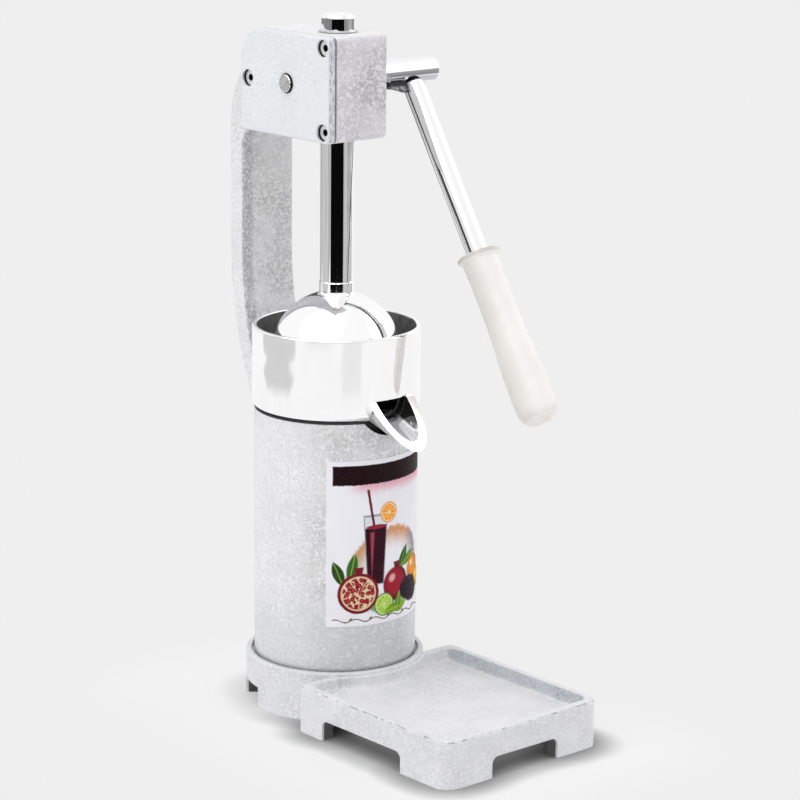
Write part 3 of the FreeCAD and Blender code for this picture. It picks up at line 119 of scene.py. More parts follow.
def feed(tree, target, value):
    """Link a wire to a socket, or set the socket's own value."""
    if isinstance(value, Wire):
        tree.links.new(value.socket, target)
    else:
        target.default_value = value


class Paint:
    """A material under construction: its tree, its shader, and ways to add to them."""

    def __init__(self, name, **settings):
        self.material = bpy.data.materials.new(name)
        self.material.use_nodes = True
        self.tree = self.material.node_tree
        self.shader = self.tree.nodes["Principled BSDF"]
        for key, value in settings.items():
            self.put(key, value)

    def put(self, key, value):
        feed(self.tree, self.shader.inputs[key.replace("_", " ")], value)

    def node(self, kind, output=0, **inputs):
        node = self.tree.nodes.new(kind)
        for key, value in inputs.items():
            feed(self.tree, node.inputs[key.replace("_", " ")], value)
        return Wire(self.tree, node.outputs[output])

    def place(self):
        return self.node("ShaderNodeTexCoord", "Object")

    def parts(self, vector):
        split = self.tree.nodes.new("ShaderNodeSeparateXYZ")
        feed(self.tree, split.inputs[0], vector)
        return [Wire(self.tree, split.outputs[i]) for i in range(3)]

    def axes(self):
        """The x, y and z of a point of the piece, in millimetres."""
        return [part * (1.0 / MM) for part in self.parts(self.place())]

    def facing(self):
        """The x, y and z of the direction that the surface faces."""
        return self.parts(self.node("ShaderNodeTexCoord", "Normal"))

    def point(self, x, y, z):
        return self.node("ShaderNodeCombineXYZ", X=x, Y=y, Z=z)

    def stretched(self, x, y, z):
        """The point with each axis multiplied."""
        node = self.tree.nodes.new("ShaderNodeMapping")
        node.inputs["Scale"].default_value = (x, y, z)
        feed(self.tree, node.inputs["Vector"], self.place())
        return Wire(self.tree, node.outputs[0])

    def noise(self, scale, detail=2.0, roughness=0.5, distortion=0.0, at=None):
        return self.node("ShaderNodeTexNoise", "Fac", Vector=at or self.place(), Scale=scale,
                         Detail=detail, Roughness=roughness, Distortion=distortion)

    def cells(self, scale, at=None, randomness=1.0):
        return self.node("ShaderNodeTexVoronoi", "Distance", Vector=at or self.place(), Scale=scale,
                         Randomness=randomness)

    def mix(self, share, first, second):
        node = self.tree.nodes.new("ShaderNodeMix")
        node.data_type = "RGBA"
        feed(self.tree, node.inputs["Factor"], share)
        for place, colour in ((6, first), (7, second)):
            value = colour if isinstance(colour, Wire) else (*colour, 1.0)
            feed(self.tree, node.inputs[place], value)
        return Wire(self.tree, node.outputs[2])

    def tinted(self, share, colour, tint):
        """A colour, a share of it multiplied by a tint."""
        node = self.tree.nodes.new("ShaderNodeMix")
        node.data_type = "RGBA"
        node.blend_type = "MULTIPLY"
        node.inputs["Factor"].default_value = 1.0
        feed(self.tree, node.inputs[6], colour)
        node.inputs[7].default_value = (*tint, 1.0)
        return self.mix(share, colour, Wire(self.tree, node.outputs[2]))

    def soft_edges(self, radius):
        """The surface's normal with its sharp edges rounded."""
        return self.node("ShaderNodeBevel", "Normal", Radius=radius)

    def hollow(self, reach):
        """1 on open surfaces, and lower in corners and sockets."""
        return self.node("ShaderNodeAmbientOcclusion", "AO", Distance=reach)

    def glow(self, strength):
        return self.node("ShaderNodeEmission", "Emission", Strength=strength)

    def surface(self, shader):
        """Give the material another shader."""
        feed(self.tree, self.tree.nodes["Material Output"].inputs["Surface"], shader)

    def blend(self, share, first, second):
        """A mix of two shaders."""
        node = self.tree.nodes.new("ShaderNodeMixShader")
        for place, value in enumerate((share, first, second)):
            socket = value.socket if isinstance(value, Wire) else value
            if isinstance(socket, float):
                node.inputs[place].default_value = socket
            else:
                self.tree.links.new(socket, node.inputs[place])
        return Wire(self.tree, node.outputs[0])

    def bump(self, height, depth, under=None):
        """A bump of that height times that depth in metres, over another normal."""
        node = self.tree.nodes.new("ShaderNodeBump")
        node.inputs["Strength"].default_value = 1.0
        node.inputs["Distance"].default_value = depth
        feed(self.tree, node.inputs["Height"], height)
        if under:
            feed(self.tree, node.inputs["Normal"], under)
        return Wire(self.tree, node.outputs[0])


def grey(level, tint=(1.0, 1.0, 1.0)):
    """A grey of that level, with a tint."""
    return tuple(level * part for part in tint)


# Materials. Their places on the part are in millimetres, as in the solids.

HEAD_BOTTOM = 409.0
ARM_FRONT = 34.0
COLUMN_TOP = 217.4
COLUMN_FOOT_RADIUS = 59.6
FOOT_TOP = 36.0
FOOT_RADIUS = 64.5
TRAY_HALF_WIDTH = 72.4
TRAY_HALF_DEPTH = 78.25
TRAY_MIDDLE = -124.25
TRAY_CORNER = 12.0
TRAY_RIM = 33.2
CUP_RADIUS = 60.0
CUP_INNER_RADIUS = 56.7
SPOUT_AXIS_HEIGHT = 231.0
SPOUT_SLOPE = math.radians(21.0)
SPOUT_BORE_RADIUS = 14.25
NOTCH_RADIUS = 24.75
JOINT_PLANE = -23.75
SCREW_PLACES = ((-19.0, 475.5), (-19.0, 417.3), (63.3, 446.8))
SCREW_HOLE_RADIUS = 6.1
SCREW_SOCKET_RADIUS = 2.5


def at_screws(y, z, radius, edge):
    """1 within a radius of the cover screws' axes and 0 outside, over a soft edge."""
    found = None
    for across, up in SCREW_PLACES:
        disc = length(y - across, z - up).step(radius + edge, radius - edge)
        found = found.most(disc) if found else disc
    return found


def hammered(paint, level, tint, scale, heavy, dark, depth, long_blotches):
    """Hammered enamel: squiggly pale ridges and darker valleys, as strong as heavy says.

    The pattern's scale is per metre; depth and wear, the radius of worn edges, are in metres.
    """
    worms = paint.noise(scale, 0.4, 0.5, 0.9)
    curls = paint.noise(scale * 0.74, 0.3, 0.5, 0.6)
    broad = paint.noise(scale * 0.07, 3.0, 0.6)
    fine = paint.noise(scale * 2.2, 2.0, 0.6)
    outline = (curls - 0.5).size().step(0.060, 0.005)
    valley = (worms.step(0.62, 0.38) * 0.58 + 0.18).most(outline * 0.85)
    ridge = (worms - 0.56).size().step(0.070, 0.015) * 1.25
    patch = broad.step(0.34, 0.66)
    strength = heavy * (patch * 0.6 + 0.4)
    shade = paint.mix((valley * strength * 0.95).least(1.0), grey(level, tint), dark)
    shade = paint.mix(fine.step(0.56, 0.8) * strength * 0.15, shade, dark)
    shade = paint.mix(ridge * strength.least(1.0) * 0.55, shade, grey(min(level * 1.06, 0.95)))
    paint.put("Roughness", valley * 0.15 + fine * 0.12 + 0.34)
    height = ridge * 0.6 - valley * 0.7 + fine * 0.12 + broad * 1.2
    paint.put("Normal", paint.bump(height, depth, paint.soft_edges(long_blotches)))
    return shade


def frame_enamel(name):
    """Column, arm and gear housing: coarse on the arm, smooth at the column's foot."""
    paint = Paint(name, Specular_IOR_Level=0.45, Coat_Weight=0.2, Coat_Roughness=0.2)
    x, y, z = paint.axes()
    facing_x, facing_y, facing_z = paint.facing()
    on_arm = y.step(ARM_FRONT, ARM_FRONT + 6.0) * z.step(HEAD_BOTTOM + 1.0, HEAD_BOTTOM - 1.0)
    on_head = z.step(HEAD_BOTTOM - 2.0, HEAD_BOTTOM)
    low = z.step(96.0, 60.0)
    # painted light: the hammered pattern is made fainter on left-facing faces, towards the key lamp, and on
    # upward faces
    left = facing_x.step(-0.70, -0.95)
    heavy = (1.0 - low * 0.45) * (1.0 - left * 0.70) * 0.95 + on_head * 0.05
    heavy = heavy * (1.0 - facing_z.step(0.5, 0.9) * 0.75)
    blotch = paint.noise(34.0, 3.0, 0.6).step(0.35, 0.65)
    dark = paint.mix(blotch, (0.38, 0.37, 0.405), (0.31, 0.315, 0.295))
    shade = hammered(paint, 0.92, (0.99, 0.985, 1.01), 390.0, heavy, dark, 0.0003, 0.0011)
    # painted shade: the head's front-facing faces darker and mauve
    shade = paint.tinted(on_head * facing_y.step(-0.6, -0.95) * 0.8, shade, (0.945, 0.92, 0.965))
    # painted shade: the column darker and greyer low down, near the foot ring
    shade = paint.tinted(low * 0.85, shade, (0.82, 0.84, 0.85))
    # dark grainy band down the arm's outer front corner
    corner = on_arm * x.step(-12.5, -17.0) * x.step(-23.45, -22.6) * facing_y.step(-0.05, -0.4)
    grain = paint.noise(560.0, 1.0, 0.6, 0.8).step(0.40, 0.60)
    shade = paint.mix(corner * (grain * 0.6 + 0.12), shade, (0.33, 0.32, 0.35))
    # shadow lines: under the cup, at the foot, along the cover's joint and in the spout's notch
    above = z - COLUMN_TOP
    under_cup = above.step(-1.3, -0.9) * above.step(0.6, 0.2)
    under_cup = under_cup * length(x, y).step(56.0, 57.0) * y.step(40.0, 30.0)
    at_foot = z.step(FOOT_TOP + 3.0, FOOT_TOP - 1.0)
    joint = (x - JOINT_PLANE).size().step(0.95, 0.55) * on_head * facing_y.step(-0.3, -0.7)
    around_spout = length(x, z - SPOUT_AXIS_HEIGHT)
    notch = around_spout.step(NOTCH_RADIUS + 0.15, NOTCH_RADIUS - 0.15)
    notch = notch * y.step(-20.0, -24.0) * above.step(1.0, 0.5)
    lines = under_cup.most(joint * 0.9).most(notch).most(at_foot * 0.4)
    paint.put("Base Color", paint.mix(lines, shade, (0.02, 0.02, 0.022)))
    return paint.material


def cover_enamel(name):
    """The gear housing's cover: fine and pale, with painted shade on its counterbores' walls round the
    screws, and darker along its joint.
    """
    paint = Paint(name, Specular_IOR_Level=0.45, Coat_Weight=0.2, Coat_Roughness=0.2)
    x, y, z = paint.axes()
    facing_x, facing_y, facing_z = paint.facing()
    side = facing_x.step(-0.5, -0.9)
    heavy = 0.7 - side * 0.45
    blotch = paint.noise(60.0, 3.0, 0.6).step(0.35, 0.65)
    dark = paint.mix(blotch, (0.50, 0.53, 0.60), (0.55, 0.54, 0.60))
    shade = hammered(paint, 0.90, (0.965, 0.98, 1.02), 400.0, heavy, dark, 0.0002, 0.0012)
    # painted shade: the front-facing edge strip darker and bluer, with dark streaks
    strip = facing_y.step(-0.5, -0.9)
    streaks = paint.noise(1.0, 2.0, 0.6, 0.4, paint.stretched(600.0, 600.0, 190.0)).step(0.46, 0.60)
    shade = paint.tinted(strip * 0.7, shade, (0.86, 0.91, 0.95))
    shade = paint.mix(strip * streaks * 0.6, shade, (0.30, 0.33, 0.38))
    joint = x.step(JOINT_PLANE - 1.0, JOINT_PLANE - 0.6) * facing_y.step(-0.3, -0.7)
    # painted shade: the screw counterbores' walls near black
    wall = at_screws(y, z, SCREW_HOLE_RADIUS, 0.05) * x.step(-28.6, -28.2)
    paint.put("Base Color", paint.mix(wall.most(joint * 0.9), shade, (0.012, 0.012, 0.014)))
    return paint.material


def base_enamel(name):
    """The tray and its round foot: finer, with a worn broken line along the rim, and painted shade under the
    tray and round the column's foot.
    """
    paint = Paint(name, Specular_IOR_Level=0.45, Coat_Weight=0.2, Coat_Roughness=0.2)
    x, y, z = paint.axes()
    facing_x, facing_y, facing_z = paint.facing()
    blotch = paint.noise(50.0, 3.0, 0.6).step(0.35, 0.65)
    dark = paint.mix(blotch, (0.44, 0.44, 0.49), (0.42, 0.44, 0.43))
    upward = facing_z.step(0.6, 0.95)
    near_foot = y.step(-150.0, -70.0)
    heavy = 0.62 + upward * (near_foot * 0.3 - 0.2)
    shade = hammered(paint, 0.86, (0.985, 0.985, 1.02), 450.0, heavy, dark, 0.0002, 0.0009)
    # distance outwards from the tray's and the foot's outline
    across = x.size() - (TRAY_HALF_WIDTH - TRAY_CORNER)
    along = (y - TRAY_MIDDLE).size() - (TRAY_HALF_DEPTH - TRAY_CORNER)
    from_tray = length(across.most(0.0), along.most(0.0)) + across.most(along).least(0.0) - TRAY_CORNER
    radius = length(x, y)
    outline = from_tray.least(radius - FOOT_RADIUS)
    right_wall = facing_x.step(-0.35, -0.80) * z.step(24.5, 26.0) * outline.step(-3.0, -5.0)
    smudge = paint.noise(90.0, 3.0, 0.65).step(0.3, 0.7) * paint.noise(620.0, 1.0, 0.6, 0.8).step(0.44, 0.60)
    shade = paint.tinted(right_wall, shade, (0.74, 0.77, 0.80))
    shade = paint.mix(right_wall * smudge * 0.55, shade, (0.25, 0.27, 0.27))
    reflection_share = paint.noise(1.0, 2.0, 0.6, 0.0, paint.stretched(160.0, 160.0, 700.0)).step(0.50, 0.62)
    rim = (z - TRAY_RIM).size().step(0.65, 0.2) * outline.step(-1.8, -1.0) * y.step(-44.0, -50.0)
    # painted shade: the faces under the tray near black, and a dark line round the column's foot
    painted_underside_shade = outline.step(-1.2, -2.2) * z.step(22.5, 20.5)
    ring = (radius - COLUMN_FOOT_RADIUS).size().step(1.5, 0.6) * z.step(33.0, 34.0)
    rim_wear_and_painted_shade = painted_underside_shade.most(rim * reflection_share * 0.55).most(ring * 0.45)
    paint.put("Base Color", paint.mix(rim_wear_and_painted_shade, shade, (0.030, 0.032, 0.028)))
    return paint.material


def polished(paint, level, roughness, wave=0.00006):
    """Turned and polished aluminium: faint rings round the press axis, soft clouds and fine scratches."""
    x, y, z = paint.axes()
    radius = length(x, y)
    rings = paint.noise(1.0, 2.0, 0.7, 0.0, paint.point(radius * 2.6, 0.0, z * 2.6))
    cloud = paint.noise(30.0, 3.0, 0.55, 0.6)
    scratch = paint.noise(1.0, 3.0, 0.7, 0.0, paint.point(radius * 0.6, x.math("ARCTAN2", y) * 1.5, z * 9.0))
    duller = grey(level * 0.965, (1.0, 0.995, 1.01))
    shade = paint.mix(cloud.step(0.3, 0.75), grey(level, (1.0, 1.0, 1.005)), duller)
    shade = paint.mix(scratch.step(0.55, 0.8) * 0.25, shade, grey(level * 0.88))
    paint.put("Roughness", cloud.step(0.3, 0.8) * 0.02 + rings * 0.015 + roughness)
    paint.put("Normal", paint.bump(rings * 0.02 + paint.noise(42.0, 1.0, 0.5), wave))
    return shade


def cup_metal(name):
    """The cup: polished outside; dull inside, with painted shade there, under the spout and in its bore,
    near black in the throat.
    """
    paint = Paint(name, Metallic=1.0)
    shade = polished(paint, 0.97, 0.035)
    x, y, z = paint.axes()
    radius = length(x, y)
    # painted shade: the inside of the cup dull and dark
    inside = radius.step(CUP_INNER_RADIUS + 0.05, CUP_INNER_RADIUS - 0.1) * z.step(233.0, 234.5)
    axis_height = (y + CUP_RADIUS) * math.tan(SPOUT_SLOPE) + SPOUT_AXIS_HEIGHT
    off_axis = length(x, (z - axis_height) * math.cos(SPOUT_SLOPE))
    wall = (radius - CUP_RADIUS).size().step(0.15, 0.4)
    bore = off_axis.step(SPOUT_BORE_RADIUS + 0.1, SPOUT_BORE_RADIUS - 0.1) * y.step(-50.0, -55.0) * wall
    facing_x, facing_y, facing_z = paint.facing()
    # painted shade: the spout's throat near black, its bore and underside greyer and less metallic
    deep = y.step(-62.5, -57.0)
    right = facing_x.step(-0.45, -0.62)
    throat = bore * (deep.most(right * y.step(-80.0, -74.0)))
    scoop = bore * facing_y.step(-0.6, -0.5)
    under = facing_z.step(-0.12, -0.4) * y.step(-52.0, -56.0) * z.step(232.0, 229.0)
    streak = paint.noise(1.0, 2.0, 0.6, 0.5, paint.stretched(160.0, 60.0, 60.0)).step(0.56, 0.70)
    throat = throat * (1.0 - streak * 0.4)
    inside_mottle = paint.noise(140.0, 3.0, 0.6).step(0.35, 0.7)
    dull_and_shaded = paint.mix(inside_mottle, (0.17, 0.17, 0.168), (0.12, 0.12, 0.118))
    shade = paint.mix(inside, shade, dull_and_shaded)
    shade = paint.mix(scoop, shade, (0.68, 0.68, 0.70))
    shade = paint.mix(under, shade, (0.60, 0.60, 0.60))
    paint.put("Metallic", 1.0 - inside.most(scoop * 0.7).most(under * 0.85) * 0.9)
    paint.put("Base Color", paint.mix(throat, shade, (0.02, 0.022, 0.018)))
    return paint.material


def bright_casting(name, level, roughness, wave):
    """A polished casting all over."""
    paint = Paint(name, Metallic=1.0)
    paint.put("Base Color", polished(paint, level, roughness, wave))
    return paint.material


LEVER_LEAN = math.radians(32.3)
SHAFT_Y = 19.8
SHAFT_Z = 447.6


def down_lever(paint):
    """A point's distances across the lever, outwards from it and down it from the shaft's axis."""
    x, y, z = paint.axes()
    back = SHAFT_Y - y
    drop = SHAFT_Z - z
    down = back * math.sin(LEVER_LEAN) + drop * math.cos(LEVER_LEAN)
    out = back * math.cos(LEVER_LEAN) - drop * math.sin(LEVER_LEAN)
    return x, out, down


def chrome(name, bar, level=0.95, roughness=0.02):
    """Chromed bar with faint drawn streaks along its axis, which is Z, X or the lever's."""
    paint = Paint(name, Metallic=1.0)
    x, y, z = paint.axes()
    if bar == "lever":
        across, out, along = down_lever(paint)
    elif bar == "shaft":
        across, out, along = y, z, x
    else:
        across, out, along = x, y, z
    streaks = paint.noise(1.0, 3.0, 0.65, 0.0, paint.point(across * 0.9, out * 0.9, along * 0.012))
    long_blotches = paint.noise(1.0, 1.5, 0.5, 0.0, paint.point(across * 0.42, out * 0.42, along * 0.006))
    cloud = paint.noise(60.0, 2.0, 0.5)
    drawn = grey(level * 0.93, (0.985, 0.985, 1.0))
    shade = paint.mix(streaks.step(0.35, 0.8), grey(level, (0.995, 0.995, 1.005)), drawn)
    shade = paint.mix(long_blotches.step(0.60, 0.66) * 0.35, shade, grey(0.42, (0.97, 0.97, 1.0)))
    if bar == "shaft":
        facing_x, facing_y, facing_z = paint.facing()
        # painted reflection: the shaft's downward-facing side darker grey, broken into bands
        lower = facing_z.step(0.15, -0.1) * facing_z.step(-0.96, -0.80) * facing_y.step(0.2, 0.0)
        reflection_share = long_blotches.step(0.38, 0.60) * 0.45 + 0.30
        shade = paint.mix(lower * reflection_share, shade, grey(0.46, (0.97, 0.96, 1.03)))
        # painted shade: the flank of the shaft's end in the cover, near black
        shaded_flank = x.step(-29.0, -29.4) * length(y - SHAFT_Y, z - SHAFT_Z).step(6.0, 6.3)
        shade = paint.mix(shaded_flank, shade, (0.015, 0.014, 0.018))
    paint.put("Base Color", shade)
    paint.put("Roughness", streaks * 0.02 + cloud * 0.015 + roughness)
    paint.put("Normal", paint.bump(streaks, 0.0000012))
    return paint.material


def steel(name, level=0.80, roughness=0.18):
    """Turned bright steel, with painted shade darkening its sockets and corners."""
    paint = Paint(name, Metallic=1.0)
    fine = paint.noise(1800.0, 2.0, 0.6)
    cloud = paint.noise(220.0, 3.0, 0.6)
    shade = paint.mix(cloud.step(0.35, 0.75), grey(level), grey(level * 0.85))
    # painted shade: colour darkened where the surface is occluded
    corners = paint.hollow(0.003).step(0.75, 0.45)
    paint.put("Base Color", paint.mix(corners, shade, (0.02, 0.02, 0.02)))
    paint.put("Roughness", fine * 0.1 + cloud * 0.08 + roughness)
    paint.put("Normal", paint.bump(fine, 0.000004))
    return paint.material


def screw_steel(name):
    """Zinc-plated heads, their hex sockets painted black as shade."""
    paint = Paint(name, Metallic=0.35)
    x, y, z = paint.axes()
    # painted shade: the hex sockets near black
    socket = at_screws(y, z, SCREW_SOCKET_RADIUS, 0.2)
    cloud = paint.noise(300.0, 3.0, 0.6)
    plate = paint.mix(cloud.step(0.35, 0.75), (0.93, 0.93, 0.95), (0.84, 0.84, 0.87))
    paint.put("Base Color", paint.mix(socket, plate, (0.01, 0.01, 0.01)))
    paint.put("Roughness", cloud * 0.1 + 0.4)
    paint.put("Normal", paint.bump(cloud, 0.00001))
    return paint.material


def black_steel(name):
    """Dark steel web and weld: near black as painted shade, with a lighter grey patch low on the web as
    painted light, broken up by noise.
    """
    paint = Paint(name, Metallic=0.6)
    cloud = paint.noise(380.0, 3.0, 0.65)
    across, out, down = down_lever(paint)
    shade = paint.mix(cloud.step(0.5, 0.8), (0.012, 0.012, 0.014), (0.12, 0.12, 0.13))
    # painted light: the web's lower part lighter grey
    painted_lit_patch = down.step(11.0, 13.6) * across.step(75.0, 71.0) * cloud.step(0.38, 0.55)
    shade = paint.mix(painted_lit_patch * 0.8, shade, (0.36, 0.36, 0.37))
    paint.put("Base Color", shade)
    paint.put("Roughness", cloud * 0.2 + 0.3)
    paint.put("Normal", paint.bump(cloud, 0.00008))
    return paint.material


def bronze(name):
    """Machined bearing bronze."""
    paint = Paint(name, Metallic=1.0)
    cloud = paint.noise(260.0, 3.0, 0.6)
    fine = paint.noise(1500.0, 2.0, 0.6)
    paint.put("Base Color", paint.mix(cloud.step(0.3, 0.75), (0.62, 0.4, 0.19), (0.42, 0.26, 0.12)))
    paint.put("Roughness", fine * 0.15 + 0.28)
    paint.put("Normal", paint.bump(fine, 0.000006))
    return paint.material


def gasket_sheet(name):
    """Black pressed fibre."""
    paint = Paint(name, Specular_IOR_Level=0.3)
    fibre = paint.noise(1400.0, 4.0, 0.7)
    paint.put("Base Color", paint.mix(fibre.step(0.35, 0.7), (0.02, 0.02, 0.022), (0.04, 0.04, 0.045)))
    paint.put("Roughness", fibre * 0.2 + 0.65)
    paint.put("Normal", paint.bump(fibre, 0.00005))
    return paint.material


def cream_plastic(name):
    """Moulded grip: creamy, satin, faintly uneven, with a pinkish mottling, and painted shade at its neck,
    down its left-facing flank and at its lower end.
    """
    paint = Paint(name, Specular_IOR_Level=0.45, Coat_Weight=0.15, Coat_Roughness=0.25)
    across, out, down = down_lever(paint)
    cloud = paint.noise(45.0, 3.0, 0.55, 0.8)
    speck = paint.noise(420.0, 2.0, 0.6, 0.6)
    cream = paint.mix(cloud.step(0.3, 0.72), (0.92, 0.91, 0.885), (0.88, 0.86, 0.84))
    shade = paint.mix(speck.step(0.5, 0.78) * 0.22, cream, (0.76, 0.68, 0.655))
    facing_x, facing_y, facing_z = paint.facing()
    # painted shade: darker brown at the grip's neck, greyer on its left-facing flank and pinkish at its
    # lower end
    neck_shade = down.step(149.0, 146.8) * (paint.noise(90.0, 3.0, 0.6).step(0.25, 0.7) * 0.5 + 0.5)
    shaded_flank = facing_x.step(-0.55, -0.98)
    shade = paint.tinted(shaded_flank * 0.55, shade, (0.80, 0.77, 0.72))
    tip_shade = down.step(262.0, 276.0) * paint.noise(70.0, 3.0, 0.6).step(0.35, 0.65)
    shade = paint.mix(tip_shade * 0.5, shade, (0.72, 0.62, 0.58))
    paint.put("Base Color", paint.mix(neck_shade * 0.62, shade, (0.40, 0.34, 0.27)))
    paint.put("Roughness", speck * 0.1 + cloud * 0.12 + 0.3)
    paint.put("Normal", paint.bump(speck * 0.35 + cloud, 0.00022))
    return paint.material


# Label: a generic printed design of fruit and a tall glass of juice, on the column's front

LABEL_RADIUS = 58.8


class Print(Paint):
    """The label's ink. u runs round the column and v runs up it, both in millimetres."""

    def __init__(self, name):
        super().__init__(name, Roughness=0.5, Specular_IOR_Level=0.08)
        x, y, z = self.axes()
        wobble = self.noise(260.0, 3.0, 0.6) - 0.5
        self.fine = self.noise(900.0, 2.0, 0.6)
        self.u = x.math("ARCTAN2", y * -1.0) * LABEL_RADIUS + wobble * 0.7
        self.v = z + wobble * 0.7
        self.wobble = wobble
        paper = self.noise(30.0, 2.0, 0.5).step(0.35, 0.7)
        self.ink = self.mix(paper, (0.885, 0.875, 0.925), (0.83, 0.82, 0.885))

    def lay(self, mask, colour):
        """Print a colour where the mask is 1."""
        self.ink = self.mix(mask, self.ink, colour)

    def from_point(self, u, v, wide=1.0, tall=1.0, turn=0.0):
        """Offsets from a point, turned by an angle in degrees, over half widths."""
        du = self.u - u
        dv = self.v - v
        c = math.cos(math.radians(turn))
        n = math.sin(math.radians(turn))
        along = (du * c + dv * n) / wide
        across = (dv * c - du * n) / tall
        return along, across

    def oval(self, u, v, wide, tall, turn=0.0, soft=0.12):
        along, across = self.from_point(u, v, wide, tall, turn)
        return length(along, across).step(1.0 + soft, 1.0 - soft)

    def box(self, u, v, wide, tall, soft=0.35, lean=0.0):
        """A block with half widths, whose sides lean outwards with the height."""
        du = (self.u - u).size() - (self.v - v) * lean
        dv = (self.v - v).size()
        return du.step(wide + soft, wide - soft) * dv.step(tall + soft, tall - soft)

    def leaf(self, u, v, length, width, turn, colour, vein):
        along, across = self.from_point(u, v, length, width, turn)
        edge = 1.0 - along * along
        body = (across.size() - edge).step(0.12, -0.12)
        self.lay(body, colour)
        self.lay(across.size().step(0.16, 0.04) * body * 0.8, vein)

    def ball(self, u, v, radius, colour, glint):
        """A round fruit, darker at its edge, with a glint."""
        self.lay(self.oval(u, v, radius, radius, 0.0, 0.05), tuple(c * 0.35 for c in colour))
        body = self.oval(u - radius * 0.12, v + radius * 0.12, radius * 0.8, radius * 0.8, 0.0, 0.3)
        self.lay(body, colour)
        shine = self.oval(u - radius * 0.35, v + radius * 0.38, radius * 0.24, radius * 0.2, 40.0, 0.5)
        self.lay(shine, glint)

    def slice(self, u, v, radius, segments, rind, pith, flesh, turn=0.0):
        """A round slice of citrus fruit with its segments."""
        du = self.u - u
        dv = self.v - v
        far = length(du, dv) / radius
        angle = dv.math("ARCTAN2", du)
        wedge = (angle * (segments / 2.0) + turn).cosine().size()
        self.lay(far.step(1.04, 0.96), rind)
        self.lay(far.step(0.92, 0.86), pith)
        pulp = far.step(0.82, 0.76) * (wedge * far).step(0.06, 0.16)
        pale = tuple(min(c * 1.5 + 0.05, 1.0) for c in flesh)
        self.lay(pulp, self.mix(self.fine.step(0.4, 0.65), flesh, pale))


